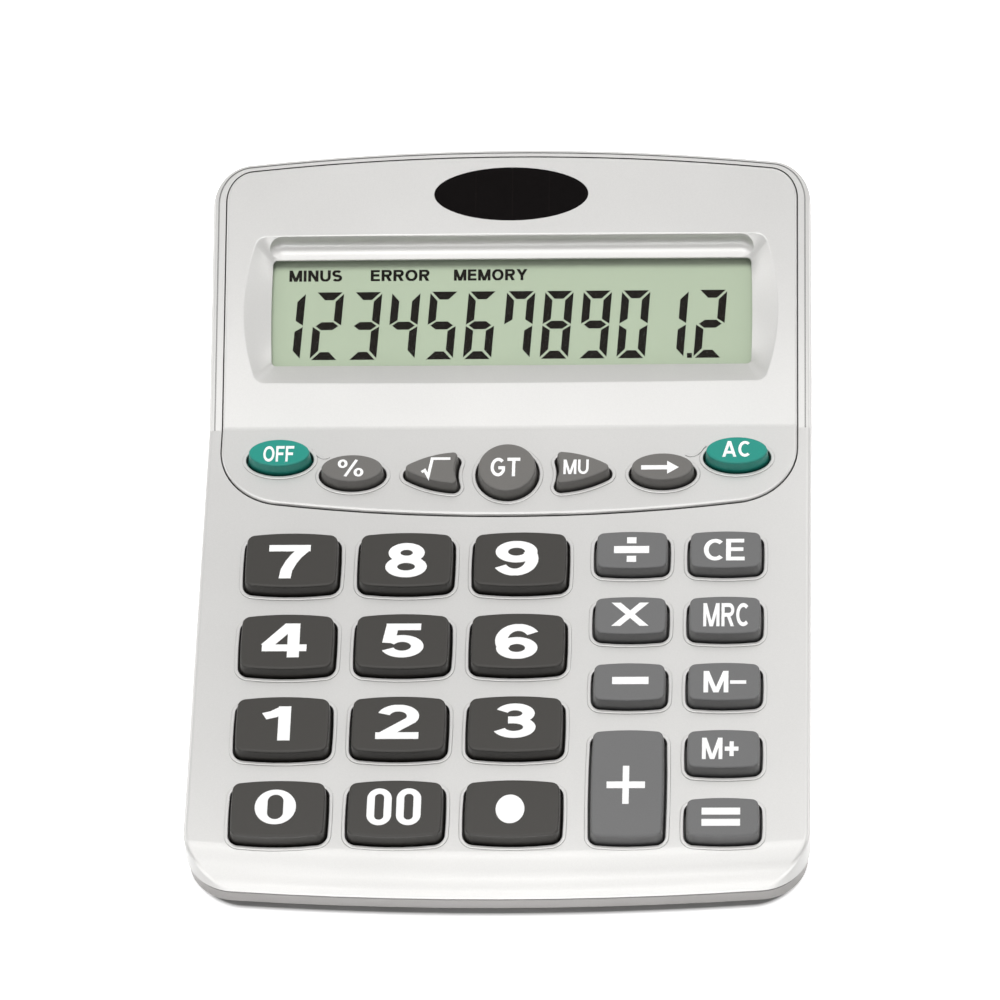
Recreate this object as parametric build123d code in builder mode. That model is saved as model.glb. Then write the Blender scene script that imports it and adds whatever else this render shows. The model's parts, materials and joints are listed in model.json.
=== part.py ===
from build123d import *
import os
from functools import partial
from math import asin, cos, degrees, hypot, radians, sin, sqrt, tan

# Desk calculator: a wedge-shaped case with a tilted display head, 28 sprung keys, a solar cell
# and an AA cell. X points right, Y to the back and Z up. The origin is on the table, under the
# middle of the case. Sizes are in millimetres and angles in degrees.

os.makedirs("parts", exist_ok=True)

# Case
body_width = 150.0
keypad_run = 131.7  # front edge to the crease between keypad and display, in plan
display_run = 65.9  # crease to the back edge, in plan
front_height = 14.4  # keypad surface above the table, carried on to the front edge
keypad_tilt = 5.0
display_tilt = 26.0
ground_clearance = 2.0
wall = 2.0
front_bow = 3.4
back_bow = 4.0
front_corner = 12.5
back_corner = 10.0
rim_radius = 1.2
lip_reach = 9.0  # how far back the rounded front lip starts
lip_drop = 6.2  # how far the lip falls before it meets the front wall
lip_overrun = 6.0  # how far the lip's arc is drawn past the front wall
seam_height = 7.3  # seam between the two case halves, at the front edge
seam_tilt = 2.5
seam_step = 0.6  # overhang of the upper half over the lower half
seam_lip_height = 2.0
seam_lip_thickness = 1.0
bottom_edge_radius = 1.5
rim_groove_inset = 1.3
rim_groove_width = 0.35
rim_groove_depth = 0.3
run_out = 12.0  # how far a profile is drawn past the case before it is trimmed
border_tolerance = 0.01  # how near an edge lies to an outline that it follows

# Clearances
fit_gap = 0.15  # pieces that sit in one another
key_gap = 0.25  # between a key and its opening
panel_groove = 0.3  # line round the head panel
slide_gap = 0.25  # running fit of the battery door
hole_gap = 0.3  # round screws and bosses

# Head panel
panel_side_border = 3.5
panel_back_border = 2.6
panel_reach = 26.3  # from the crease towards the front, in plan
panel_front_bow = 6.0
panel_front_corner = 16.5
panel_back_corner = 7.0
panel_raise = 0.8
panel_edge_radius = 0.7
crease_radius = 3.0
ledge_width = 2.0
ledge_thickness = 1.5
hook_length = 4.5
hook_thickness = 1.2
hook_nose = 0.9
hook_gap = 0.2
upper_hook_v = 55.5
lower_hook_v = 4.0

# Display cove and what stands behind it, measured up the display slope from the crease
cove_width = 133.6
cove_bottom = 11.7
cove_top = 50.3
cove_side_bow = 3.4
cove_end_bow = 0.3
cove_corner = 3.0
cove_depth = 4.0
cove_edge_radius = 0.5
scoop_lift = 0.15  # middle of the scoop above the face of the panel
scoop_end_inset = 3.0  # from the sides of the window to the middle of the scoop's round ends
window_width = 120.6
window_bottom = 17.5
window_top = 45.2
window_side_bow = 0.3
window_end_bow = 0.1
window_corner = 1.2
window_lip = 1.0
lens_overlap = 2.4
lens_thickness = 1.4
well_margin = 2.4  # well wall outside the cove
glass_overlap = 1.4  # seat of the glass outside the lens
glass_thickness = 2.2
contact_strip = 3.4  # bare strip along the lower edge of the glass for the ribbon
reflector_thickness = 0.4
holder_thickness = 1.6
holder_boss_radius = 1.9
holder_boss_inset = 2.2
holder_screw_radius = 0.8
holder_head_radius = 1.6
holder_head_height = 1.2
holder_screw_length = 4.5
ribbon_width = 84.0
ribbon_thickness = 0.3
ribbon_bond = 2.6

# Solar cell
solar_v = 60.7
solar_width = 38.4
solar_height = 13.6
solar_lens_thickness = 1.3
solar_seat = 2.0
solar_cell_width = 37.0
solar_cell_height = 10.6
solar_cell_thickness = 1.1

# Keys
key_height = 3.6
key_travel = 1.2
key_draft = 5.0
key_edge_radius = 0.6
key_skirt = 1.3
key_roof = 1.4
flange_reach = 0.9
flange_thickness = 0.8
flange_gap = 0.2
stem_radius = 2.4
collar_width = 0.9  # raised collar round each key opening
collar_height = 0.3
collar_round = 0.25
keypad_left_margin = 11.0
keypad_top = -33.0  # measured up the keypad slope from the crease
keypad_bottom = -122.4
digit_width = 23.6
digit_depth = 17.2
digit_gap = 4.5
digit_bow = 0.9
digit_corner = 2.6
group_gap = 6.35
operator_width = 18.3
operator_depth = 12.05
operator_gap = 4.6
operator_bow = 0.6
operator_corner = 2.2
side_bow = 0.25
function_v = -14.6
corner_function_v = -9.8
oval_width = 16.3
oval_depth = 9.3
corner_oval_x = 56.7
inner_oval_x = 38.4
shield_x = 19.0
shield_length = 16.2
shield_depth = 10.8
shield_hollow = 1.5
shield_nose = 1.9
shield_corner = 1.6
shield_belly = 4.25
least_corner = 0.3  # smallest corner left where an outline is drawn inwards
round_key_radius = 7.7

# Dome sheet and board, stacked under the keys
stem_below_flange = 0.4
dome_height = 2.4
dome_base_radius = 4.2
dome_top_radius = 2.8
dome_roof = 0.7
dome_wall = 0.7
pill_radius = 1.5
mat_thickness = 0.8
mat_side_margin = 10.8
mat_back_v = -3.5
mat_front_v = -121.0
board_thickness = 1.2
board_side_margin = 5.5
board_back_v = 4.0
board_front_v = -121.5
board_corner = 6.0
board_boss_radius = 2.3
board_screw_radius = 1.0
board_head_radius = 2.0
board_head_height = 1.4
board_screw_length = 5.0
edge_boss_inset = 8.0
upper_boss_v = -28.0
group_boss_shift = 1.8  # boss beside the number keys, from their right edge
pilot_room = 0.4  # hole left past the tip of a screw
blob_radius = 7.0
blob_height = 1.8
blob_x = -10.0
blob_v = -78.0
capacitor_radius = 2.5
capacitor_length = 7.0
capacitor_chamfer = 0.4
capacitor_x = 30.0
capacitor_v = -20.0

# Screws and posts that join the case halves
post_radius = 2.6
standoff_radius = 3.0
case_screw_radius = 1.1
case_head_radius = 2.0
case_head_height = 1.6
case_screw_length = 6.0
screw_clamp = 2.5  # thickness of the lower half under each screw head
front_post_x = 25.0
front_post_inset = 5.8
side_post_inset = 6.0
middle_post_v = -62.0
rear_post_inset = 14.0
rear_post_height = 20.0
rear_rib_thickness = 1.6

# Battery bay and door
cell_radius = 7.25
cell_length = 50.5
nub_radius = 2.6
nub_length = 1.2
bay_gap = 0.4
bay_wall = 1.5
bay_y = 74.0
contact_thickness = 0.5
contact_width = 11.0
leaf_reach = 4.5
leaf_half_height = 5.0
tab_width = 4.0
tab_height = 2.0
tab_gap = 0.3
door_margin = 3.0  # door beyond the bay at each side
tongue_reach = 1.8
tongue_thickness = 0.8
guide_thickness = 1.4
guide_reach = 4.2
grip_count = 4
grip_pitch = 2.4
grip_width = 1.0
grip_length = 22.0
grip_depth = 0.5
grip_inset = 6.0

# Feet and wires
foot_radius = 6.0
foot_recess = 0.5
foot_side_inset = 15.0
foot_front_inset = 15.0
foot_back_inset = 18.0
wire_radius = 0.6
wire_bend = 2.5
wire_rise = 3.5
wire_end_gap = 0.1
solar_wire_x = 5.0
solar_wire_drop = 13.0
solar_wire_low_v = 12.0
solar_solder_v = -8.0
battery_solder_v = -6.0
wire_level = 13.5

# Derived places
front_y = -(keypad_run + display_run) / 2
back_y = front_y + keypad_run + display_run
crease_y = front_y + keypad_run
crease_z = front_height + keypad_run * tan(radians(keypad_tilt))
body_height = crease_z + display_run * tan(radians(display_tilt))
half_width = body_width / 2
floor_z = ground_clearance + wall
panel_half = half_width - panel_side_border
panel_front_y = crease_y - panel_reach
panel_back_y = back_y - panel_back_border
panel_back_bow = back_bow * (panel_half / half_width) ** 2
edge_boss_x = half_width - edge_boss_inset
side_post_x = half_width - side_post_inset
foot_x = half_width - foot_side_inset

keypad_plane = Plane(
    origin=(0, crease_y, crease_z),
    x_dir=(1, 0, 0),
    z_dir=(0, -sin(radians(keypad_tilt)), cos(radians(keypad_tilt))),
)
display_plane = Plane(
    origin=(0, crease_y, crease_z),
    x_dir=(1, 0, 0),
    z_dir=(0, -sin(radians(display_tilt)), cos(radians(display_tilt))),
)
seam_plane = Plane(
    origin=(0, front_y, seam_height),
    x_dir=(1, 0, 0),
    z_dir=(0, -sin(radians(seam_tilt)), cos(radians(seam_tilt))),
)
keypad_axis = Axis((0, crease_y, crease_z), tuple(keypad_plane.z_dir))
display_axis = Axis((0, crease_y, crease_z), tuple(display_plane.z_dir))

# Levels along the keypad normal, from the case surface down
flange_top = -(wall + flange_gap)
flange_bottom = flange_top - flange_thickness
stem_end = flange_bottom - stem_below_flange
mat_top = stem_end - dome_height
board_top = mat_top - mat_thickness
board_bottom = board_top - board_thickness

# Levels along the display normal, from the case surface down
lens_top = -(cove_depth + window_lip)
well_bottom = lens_top - lens_thickness
glass_bottom = well_bottom - glass_thickness
reflector_bottom = glass_bottom - reflector_thickness
holder_bottom = reflector_bottom - holder_thickness


def keypad_z(y):
    """Height of the keypad surface at a place along Y."""
    return crease_z + (y - crease_y) * tan(radians(keypad_tilt))


def display_z(y):
    """Height of the display surface at a place along Y."""
    return crease_z + (y - crease_y) * tan(radians(display_tilt))


def seam_z(y):
    """Height of the seam at a place along Y."""
    return seam_height + (y - front_y) * tan(radians(seam_tilt))


def on_plane(plane, v, w):
    """Y and Z of a point v up a slope and w off it."""
    point = plane.from_local_coords((0, v, w))
    return (point.Y, point.Z)


def crease_point(w):
    """Y and Z where the two slopes, both moved by w, meet."""
    middle = radians((keypad_tilt + display_tilt) / 2)
    reach = w / cos(radians((display_tilt - keypad_tilt) / 2))
    return (crease_y - reach * sin(middle), crease_z + reach * cos(middle))


def bow_radius(half_chord, bow):
    """Radius of an arc from half its chord and its bow."""
    return (half_chord**2 + bow**2) / (2 * bow)


def circle_crossing(centre_a, radius_a, centre_b, radius_b):
    """The right-hand one of the two points where two circles cross."""
    run = centre_b[0] - centre_a[0]
    rise = centre_b[1] - centre_a[1]
    apart = hypot(run, rise)
    along = (radius_a**2 - radius_b**2 + apart**2) / (2 * apart)
    across = sqrt(radius_a**2 - along**2)
    side = 1 if rise < 0 else -1
    x = centre_a[0] + (along * run - side * across * rise) / apart
    y = centre_a[1] + (along * rise + side * across * run) / apart
    return (x, y)


def circle_through(a, b, c):
    """Centre and radius of the circle through three points."""
    twice_area = 2 * (a[0] * (b[1] - c[1]) + b[0] * (c[1] - a[1]) + c[0] * (a[1] - b[1]))
    squares = [point[0] ** 2 + point[1] ** 2 for point in (a, b, c)]
    across = squares[0] * (b[1] - c[1]) + squares[1] * (c[1] - a[1]) + squares[2] * (a[1] - b[1])
    along = squares[0] * (c[0] - b[0]) + squares[1] * (a[0] - c[0]) + squares[2] * (b[0] - a[0])
    x = across / twice_area
    y = along / twice_area
    return (x, y), hypot(a[0] - x, a[1] - y)


def plan_outline(half, front, back, bow_front, bow_back, corner_front, corner_back, grow=0.0):
    """Plan outline with straight sides, arched ends and rounded corners, moved outwards by grow."""
    front_radius = bow_radius(half, bow_front)
    back_radius = bow_radius(half, bow_back)
    side = half + grow
    front_side = front + front_radius - sqrt((front_radius + grow) ** 2 - side**2)
    back_side = back - back_radius + sqrt((back_radius + grow) ** 2 - side**2)
    with BuildSketch() as outline:
        with BuildLine():
            front_edge = ThreePointArc((-side, front_side), (0, front - grow), (side, front_side))
            right_edge = Line(front_edge @ 1, (side, back_side))
            back_edge = ThreePointArc(right_edge @ 1, (0, back + grow), (-side, back_side))
            Line(back_edge @ 1, front_edge @ 0)
        make_face()
        fillet(outline.vertices().group_by(Axis.Y)[0], corner_front + grow)
        fillet(outline.vertices().group_by(Axis.Y)[-1], corner_back + grow)
    return outline.sketch


def bowed_rectangle(width, depth, bow_side, bow_end, corner, grow=0.0):
    """Rectangle whose four edges arch outwards, with rounded corners, moved outwards by grow."""
    x = width / 2
    y = depth / 2
    side_radius = bow_radius(y - bow_end, bow_side)
    end_radius = bow_radius(x - bow_side, bow_end)
    corner_x, corner_y = circle_crossing(
        (x - side_radius, 0), side_radius + grow, (0, y - end_radius), end_radius + grow
    )
    with BuildSketch() as outline:
        with BuildLine():
            front_edge = ThreePointArc((-corner_x, -corner_y), (0, -y - grow), (corner_x, -corner_y))
            right_edge = ThreePointArc(front_edge @ 1, (x + grow, 0), (corner_x, corner_y))
            back_edge = ThreePointArc(right_edge @ 1, (0, y + grow), (-corner_x, corner_y))
            ThreePointArc(back_edge @ 1, (-x - grow, 0), front_edge @ 0)
        make_face()
        fillet(outline.vertices(), max(corner + grow, least_corner))
    return outline.sketch


def oval(width, depth, grow=0.0):
    """Oval key outline, moved outwards by grow."""
    with BuildSketch() as outline:
        Ellipse(width / 2 + grow, depth / 2 + grow)
    return outline.sketch


def disc(radius, grow=0.0):
    """Round key outline, moved outwards by grow."""
    with BuildSketch() as outline:
        Circle(radius + grow)
    return outline.sketch


def shield(pointing, grow=0.0):
    """Key outline with a hollow end and a nose, pointing along X, moved outwards by grow."""
    end = shield_length / 2
    y = shield_depth / 2
    tail_radius = bow_radius(y, shield_hollow)
    tail_centre = (shield_hollow - end - tail_radius, 0)
    belly_centre, belly_radius = circle_through((-end, y), (0, shield_belly), (end, 0))
    tail_x, tail_y = circle_crossing(tail_centre, tail_radius - grow, belly_centre, belly_radius + grow)
    belly_y = belly_centre[1] + sqrt((belly_radius + grow) ** 2 - belly_centre[0] ** 2)
    nose_x = belly_centre[0] + sqrt((belly_radius + grow) ** 2 - belly_centre[1] ** 2)
    tail_x *= pointing
    nose_x *= pointing
    hollow_x = pointing * (shield_hollow - end - grow)
    with BuildSketch() as outline:
        with BuildLine():
            tail = ThreePointArc((tail_x, -tail_y), (hollow_x, 0), (tail_x, tail_y))
            upper = ThreePointArc(tail @ 1, (0, belly_y), (nose_x, 0))
            ThreePointArc(upper @ 1, (0, -belly_y), tail @ 0)
        make_face()
        tail_corners = outline.vertices().group_by(Axis.X)[0 if pointing > 0 else -1]
        fillet(tail_corners, max(shield_corner + grow, least_corner))
        nose = outline.vertices().sort_by(Axis.X)[-1 if pointing > 0 else 0]
        fillet(nose, max(shield_nose + grow, least_corner))
    return outline.sketch


def bent_band(upper, lower, radius=0.0):
    """A slab that follows both slopes between two levels, with its upper crease rounded."""
    far_front = -(keypad_run + run_out)
    far_back = (display_run + run_out) / cos(radians(display_tilt))
    with BuildPart() as band:
        with BuildSketch(Plane.YZ) as profile:
            with BuildLine():
                Polyline(
                    on_plane(keypad_plane, far_front, upper),
                    crease_point(upper),
                    on_plane(display_plane, far_back, upper),
                    on_plane(display_plane, far_back, lower),
                    crease_point(lower),
                    on_plane(keypad_plane, far_front, lower),
                    close=True,
                )
            make_face()
            if radius:
                fillet(profile.vertices().sort_by_distance(crease_point(upper))[0], radius)
        extrude(amount=body_width, both=True)
    return band.part


def lip_cutter(inset):
    """What the rounded front lip removes, turned about the centre of the bowed front edge."""
    lip_radius = bow_radius(lip_reach, lip_drop)
    turn_radius = bow_radius(half_width, front_bow)
    front_v = -(keypad_run + lip_drop * sin(radians(keypad_tilt))) / cos(radians(keypad_tilt))
    start_v = front_v + lip_reach
    end_angle = asin(lip_reach / lip_radius) + radians(lip_overrun)
    arc_radius = lip_radius - inset
    section_plane = Plane(
        origin=keypad_plane.origin,
        x_dir=tuple(keypad_plane.y_dir),
        z_dir=(1, 0, 0),
    )
    with BuildPart() as cutter:
        with BuildSketch(section_plane):
            with BuildLine():
                lip = CenterArc((start_v, -lip_radius), arc_radius, 90, degrees(end_angle))
                Polyline(
                    lip @ 1,
                    (front_v - run_out, (lip @ 1).Y),
                    (front_v - run_out, run_out),
                    (start_v, run_out),
                    lip @ 0,
                )
            make_face()
        turn = degrees(asin((half_width + run_out) / turn_radius))
        centre = keypad_plane.from_local_coords((0, front_v + turn_radius, 0))
        pivot = Axis(tuple(centre), tuple(keypad_plane.z_dir))
        revolve(axis=pivot, revolution_arc=turn)
        mirror(about=Plane.YZ)
    return cutter.part


def keypad_base(outline, inset, cutter):
    """Wedge under the keypad, its top and floor moved inwards by the inset."""
    drop = inset / cos(radians(keypad_tilt))
    near = front_y - run_out
    far = back_y + run_out
    with BuildPart() as base:
        with BuildSketch(Plane.YZ):
            with BuildLine():
                Polyline(
                    (near, ground_clearance + inset),
                    (near, keypad_z(near) - drop),
                    (far, keypad_z(far) - drop),
                    (far, ground_clearance + inset),
                    close=True,
                )
            make_face()
        extrude(amount=body_width, both=True)
        with BuildSketch(Plane.XY):
            add(outline)
        extrude(amount=2 * body_height, mode=Mode.INTERSECT)
        add(cutter, mode=Mode.SUBTRACT)
    return base.part


def display_head(outline, inset):
    """Block under the display, its top and floor moved inwards by the inset."""
    drop = inset / cos(radians(display_tilt))
    near = crease_y - run_out
    far = back_y + run_out
    with BuildPart() as head:
        with BuildSketch(Plane.YZ):
            with BuildLine():
                Polyline(
                    (near, ground_clearance + inset),
                    (near, display_z(near) - drop),
                    (far, display_z(far) - drop),
                    (far, ground_clearance + inset),
                    close=True,
                )
            make_face()
        extrude(amount=body_width, both=True)
        with BuildSketch(Plane.XY):
            add(outline)
        extrude(amount=2 * body_height, mode=Mode.INTERSECT)
    return head.part


def rim_edges(block, outline):
    """Upper edges of a block that lie over its plan outline."""
    border = outline.wires()[0]
    rims = []
    for edge in block.edges().filter_by(Axis.Z, reverse=True):
        middle = edge @ 0.5
        over_border = border.distance_to(Vertex(middle.X, middle.Y, 0)) < border_tolerance
        if over_border and middle.Z > ground_clearance + wall:
            rims.append(edge)
    return rims


# Plan outlines
body = partial(plan_outline, half_width, front_y, back_y, front_bow, back_bow, front_corner, back_corner)
body_outline = body()
cavity_outline = body(-wall)
lower_outline = body(-seam_step)
middle_outline = body(-wall / 2)
panel = partial(
    plan_outline,
    panel_half,
    panel_front_y,
    panel_back_y,
    panel_front_bow,
    panel_back_bow,
    panel_front_corner,
    panel_back_corner,
)
panel_outline = panel()
panel_opening = panel(panel_groove)

# Places of the keys, across the case and up the keypad slope
digit_pitch = digit_width + digit_gap
digit_row = (keypad_top - keypad_bottom - digit_depth) / 3
operator_row = (keypad_top - keypad_bottom - operator_depth) / 4
digit_x = [keypad_left_margin - half_width + digit_width / 2 + digit_pitch * i for i in range(3)]
digit_v = [keypad_top - digit_depth / 2 - digit_row * i for i in range(4)]
digit_right = digit_x[2] + digit_width / 2
operator_x = [
    digit_right + group_gap + operator_width / 2 + (operator_width + operator_gap) * i for i in range(2)
]
operator_v = [keypad_top - operator_depth / 2 - operator_row * i for i in range(5)]
plus_depth = operator_row + operator_depth
plus_v = (operator_v[3] + operator_v[4]) / 2

digit_cap = partial(bowed_rectangle, digit_width, digit_depth, side_bow, digit_bow, digit_corner)
operator_cap = partial(
    bowed_rectangle, operator_width, operator_depth, side_bow, operator_bow, operator_corner
)
plus_cap = partial(bowed_rectangle, operator_width, plus_depth, side_bow, operator_bow, operator_corner)
oval_cap = partial(oval, oval_width, oval_depth)
round_cap = partial(disc, round_key_radius)
left_shield_cap = partial(shield, -1)
right_shield_cap = partial(shield, 1)

digit_names = ["7", "8", "9", "4", "5", "6", "1", "2", "3", "0", "00", "point"]
field_keys = {}
for index, name in enumerate(digit_names):
    field_keys["key_" + name] = (digit_cap, digit_x[index % 3], digit_v[index // 3])
for index, name in enumerate(["divide", "multiply", "minus"]):
    field_keys["key_" + name] = (operator_cap, operator_x[0], operator_v[index])
field_keys["key_plus"] = (plus_cap, operator_x[0], plus_v)
for index, name in enumerate(["clear_entry", "memory_recall", "memory_minus", "memory_plus", "equals"]):
    field_keys["key_" + name] = (operator_cap, operator_x[1], operator_v[index])

panel_keys = {
    "key_off": (oval_cap, -corner_oval_x, corner_function_v),
    "key_percent": (oval_cap, -inner_oval_x, function_v),
    "key_root": (left_shield_cap, -shield_x, function_v),
    "key_grand_total": (round_cap, 0, function_v),
    "key_mark_up": (right_shield_cap, shield_x, function_v),
    "key_backspace": (oval_cap, inner_oval_x, function_v),
    "key_all_clear": (oval_cap, corner_oval_x, corner_function_v),
}

collar_reach = key_gap + collar_width
field_openings = [(cap(key_gap), x, v) for cap, x, v in field_keys.values()]
panel_openings = [(cap(key_gap), x, v) for cap, x, v in panel_keys.values()]
field_collars = [(cap(collar_reach), x, v) for cap, x, v in field_keys.values()]
panel_collars = [(cap(collar_reach), x, v) for cap, x, v in panel_keys.values()]

# Places of the board bosses, between the keys
upper_gap_v = (digit_v[0] + digit_v[1]) / 2
lower_gap_v = (digit_v[2] + digit_v[3]) / 2
column_gap_x = (digit_x[0] + digit_x[1]) / 2
group_boss_x = digit_right + group_boss_shift
inner_bosses = [(x, v) for x in (column_gap_x, group_boss_x) for v in (upper_gap_v, lower_gap_v)]
edge_bosses = [(x, v) for x in (-edge_boss_x, edge_boss_x) for v in (upper_boss_v, lower_gap_v)]
board_bosses = inner_bosses + edge_bosses

# Places of the posts that join the case halves
middle_post_y = on_plane(keypad_plane, middle_post_v, 0)[0]
rear_post_y = back_y - rear_post_inset
front_post_y = front_y + front_post_inset
post_rows = [(front_post_x, front_post_y), (side_post_x, middle_post_y), (side_post_x, rear_post_y)]
post_places = [(side * x, y) for x, y in post_rows for side in (-1, 1)]

# Outer block and cavity of the case
base_shape = keypad_base(body_outline, 0, lip_cutter(0))
head_shape = display_head(body_outline, 0)
base_cavity = keypad_base(cavity_outline, wall, lip_cutter(wall))
head_cavity = display_head(cavity_outline, wall)
middle_block = keypad_base(middle_outline, wall / 2, lip_cutter(wall / 2))
seam_trim = keypad_base(body(-wall - fit_gap), wall + fit_gap, lip_cutter(wall + fit_gap))

with BuildPart() as base_block:
    add(base_shape)
    fillet(rim_edges(base_block, body_outline), rim_radius)

with BuildPart() as head_block:
    add(head_shape)
    fillet(rim_edges(head_block, body_outline), rim_radius)

# Ledge inside the case that carries the head panel
ledge_band = bent_band(-wall, -(wall + ledge_thickness))
ledge_inner = panel(-ledge_width)
ledge_outer = panel(panel_side_border - wall / 2)
with BuildPart() as panel_ledge:
    with BuildSketch(Plane.XY):
        add(ledge_outer)
        add(ledge_inner, mode=Mode.SUBTRACT)
    extrude(amount=2 * body_height)
    add(ledge_band, mode=Mode.INTERSECT)

# Fine groove round the rim of the display head
groove_outer = body(-rim_groove_inset)
groove_inner = body(-rim_groove_inset - rim_groove_width)
with BuildPart() as rim_groove:
    with BuildSketch(Plane.XY):
        add(groove_outer)
        add(groove_inner, mode=Mode.SUBTRACT)
    extrude(amount=2 * body_height)
    split(bisect_by=display_plane.offset(-rim_groove_depth), keep=Keep.TOP)
    split(bisect_by=Plane.XZ.offset(-crease_y), keep=Keep.BOTTOM)

# Posts for the case screws, trimmed inside the top wall
with BuildPart() as front_posts:
    for x, y in post_places[:4]:
        with BuildSketch(Plane.XY.offset(seam_z(y))):
            with Locations((x, y)):
                Circle(post_radius)
        extrude(amount=body_height)
    add(middle_block, mode=Mode.INTERSECT)

with BuildPart() as upper_case:
    add(base_block.part)
    add(head_block.part)
    add(base_cavity, mode=Mode.SUBTRACT)
    add(head_cavity, mode=Mode.SUBTRACT)
    split(bisect_by=seam_plane, keep=Keep.TOP)
    with BuildSketch(Plane.XY):
        add(panel_opening)
    extrude(amount=2 * body_height, mode=Mode.SUBTRACT)
    add(rim_groove.part, mode=Mode.SUBTRACT)
    # Key openings, each with a raised collar
    with BuildSketch(keypad_plane.offset(-wall / 2)):
        for collar, x, v in field_collars:
            with Locations((x, v)):
                add(collar)
    extrude(amount=wall / 2 + collar_height)
    with BuildSketch(keypad_plane.offset(collar_height)):
        for opening, x, v in field_openings:
            with Locations((x, v)):
                add(opening)
    extrude(amount=-(collar_height + 2 * wall), mode=Mode.SUBTRACT)
    collar_tops = upper_case.faces().filter_by(keypad_plane).group_by(keypad_axis)[-1]
    fillet(collar_tops.edges(), collar_round)
    add(panel_ledge.part)
    # Bosses for the board screws
    with BuildSketch(keypad_plane.offset(board_top)):
        with Locations(*board_bosses):
            Circle(board_boss_radius)
    extrude(amount=-board_top - wall / 2)
    with BuildSketch(keypad_plane.offset(board_top)):
        with Locations(*board_bosses):
            Circle(board_screw_radius)
    extrude(amount=board_screw_length - board_thickness + pilot_room, mode=Mode.SUBTRACT)
    # Posts for the case screws, the rear pair tied to the side walls by ribs
    add(front_posts.part)
    for x, y in post_places[4:]:
        with BuildSketch(Plane.XY.offset(seam_z(y))):
            with Locations((x, y)):
                Circle(post_radius)
        extrude(amount=rear_post_height)
        rib_end = (half_width - wall / 2) * x / abs(x)
        with BuildSketch(Plane.XY.offset(seam_z(y) + wall)):
            with Locations(((x + rib_end) / 2, y)):
                Rectangle(abs(rib_end - x), rear_rib_thickness)
        extrude(amount=rear_post_height - wall)
    for x, y in post_places:
        with BuildSketch(Plane.XY.offset(seam_z(y))):
            with Locations((x, y)):
                Circle(case_screw_radius)
        extrude(amount=case_screw_length - screw_clamp + pilot_room, mode=Mode.SUBTRACT)
upper_case.part.label = "upper_case"
export_step(upper_case.part, "parts/upper_case.step")

# Sizes behind the display, across the case and up the display slope
cove_middle = (cove_bottom + cove_top) / 2
cove_height = cove_top - cove_bottom
cove_outline = bowed_rectangle(cove_width, cove_height, cove_side_bow, cove_end_bow, cove_corner)
window_middle = (window_bottom + window_top) / 2
window_height = window_top - window_bottom
window_outline = bowed_rectangle(
    window_width, window_height, window_side_bow, window_end_bow, window_corner
)
lens_half = window_width / 2 + lens_overlap
lens_low = window_bottom - lens_overlap
lens_high = window_top + lens_overlap
glass_half = lens_half + glass_overlap
glass_low = lens_low - glass_overlap
glass_high = lens_high + glass_overlap
well_half = cove_width / 2 + well_margin
well_low = cove_bottom - well_margin
well_high = cove_top + well_margin
holder_boss_x = glass_half + holder_boss_inset
holder_bosses = [
    (side * holder_boss_x, v)
    for side in (-1, 1)
    for v in (glass_low + holder_boss_inset, glass_high - holder_boss_inset)
]
hook_x = panel_half - ledge_width - hook_gap - hook_thickness / 2
hook_places = [(side * hook_x, v) for side in (-1, 1) for v in (lower_hook_v, upper_hook_v)]
nose_x = hook_x + hook_nose / 2
nose_places = [(side * nose_x, v) for side in (-1, 1) for v in (lower_hook_v, upper_hook_v)]
nose_top = -(wall + ledge_thickness + fit_gap)
scoop_radius = cove_depth + panel_raise
scoop_level = panel_raise + scoop_lift
scoop_half = window_width / 2 - scoop_end_inset
scoop_ends = [(side * scoop_half, window_top, scoop_level) for side in (-1, 1)]
solar_seat_level = panel_raise - fit_gap - solar_lens_thickness

panel_band = bent_band(panel_raise, -wall, crease_radius)

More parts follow.
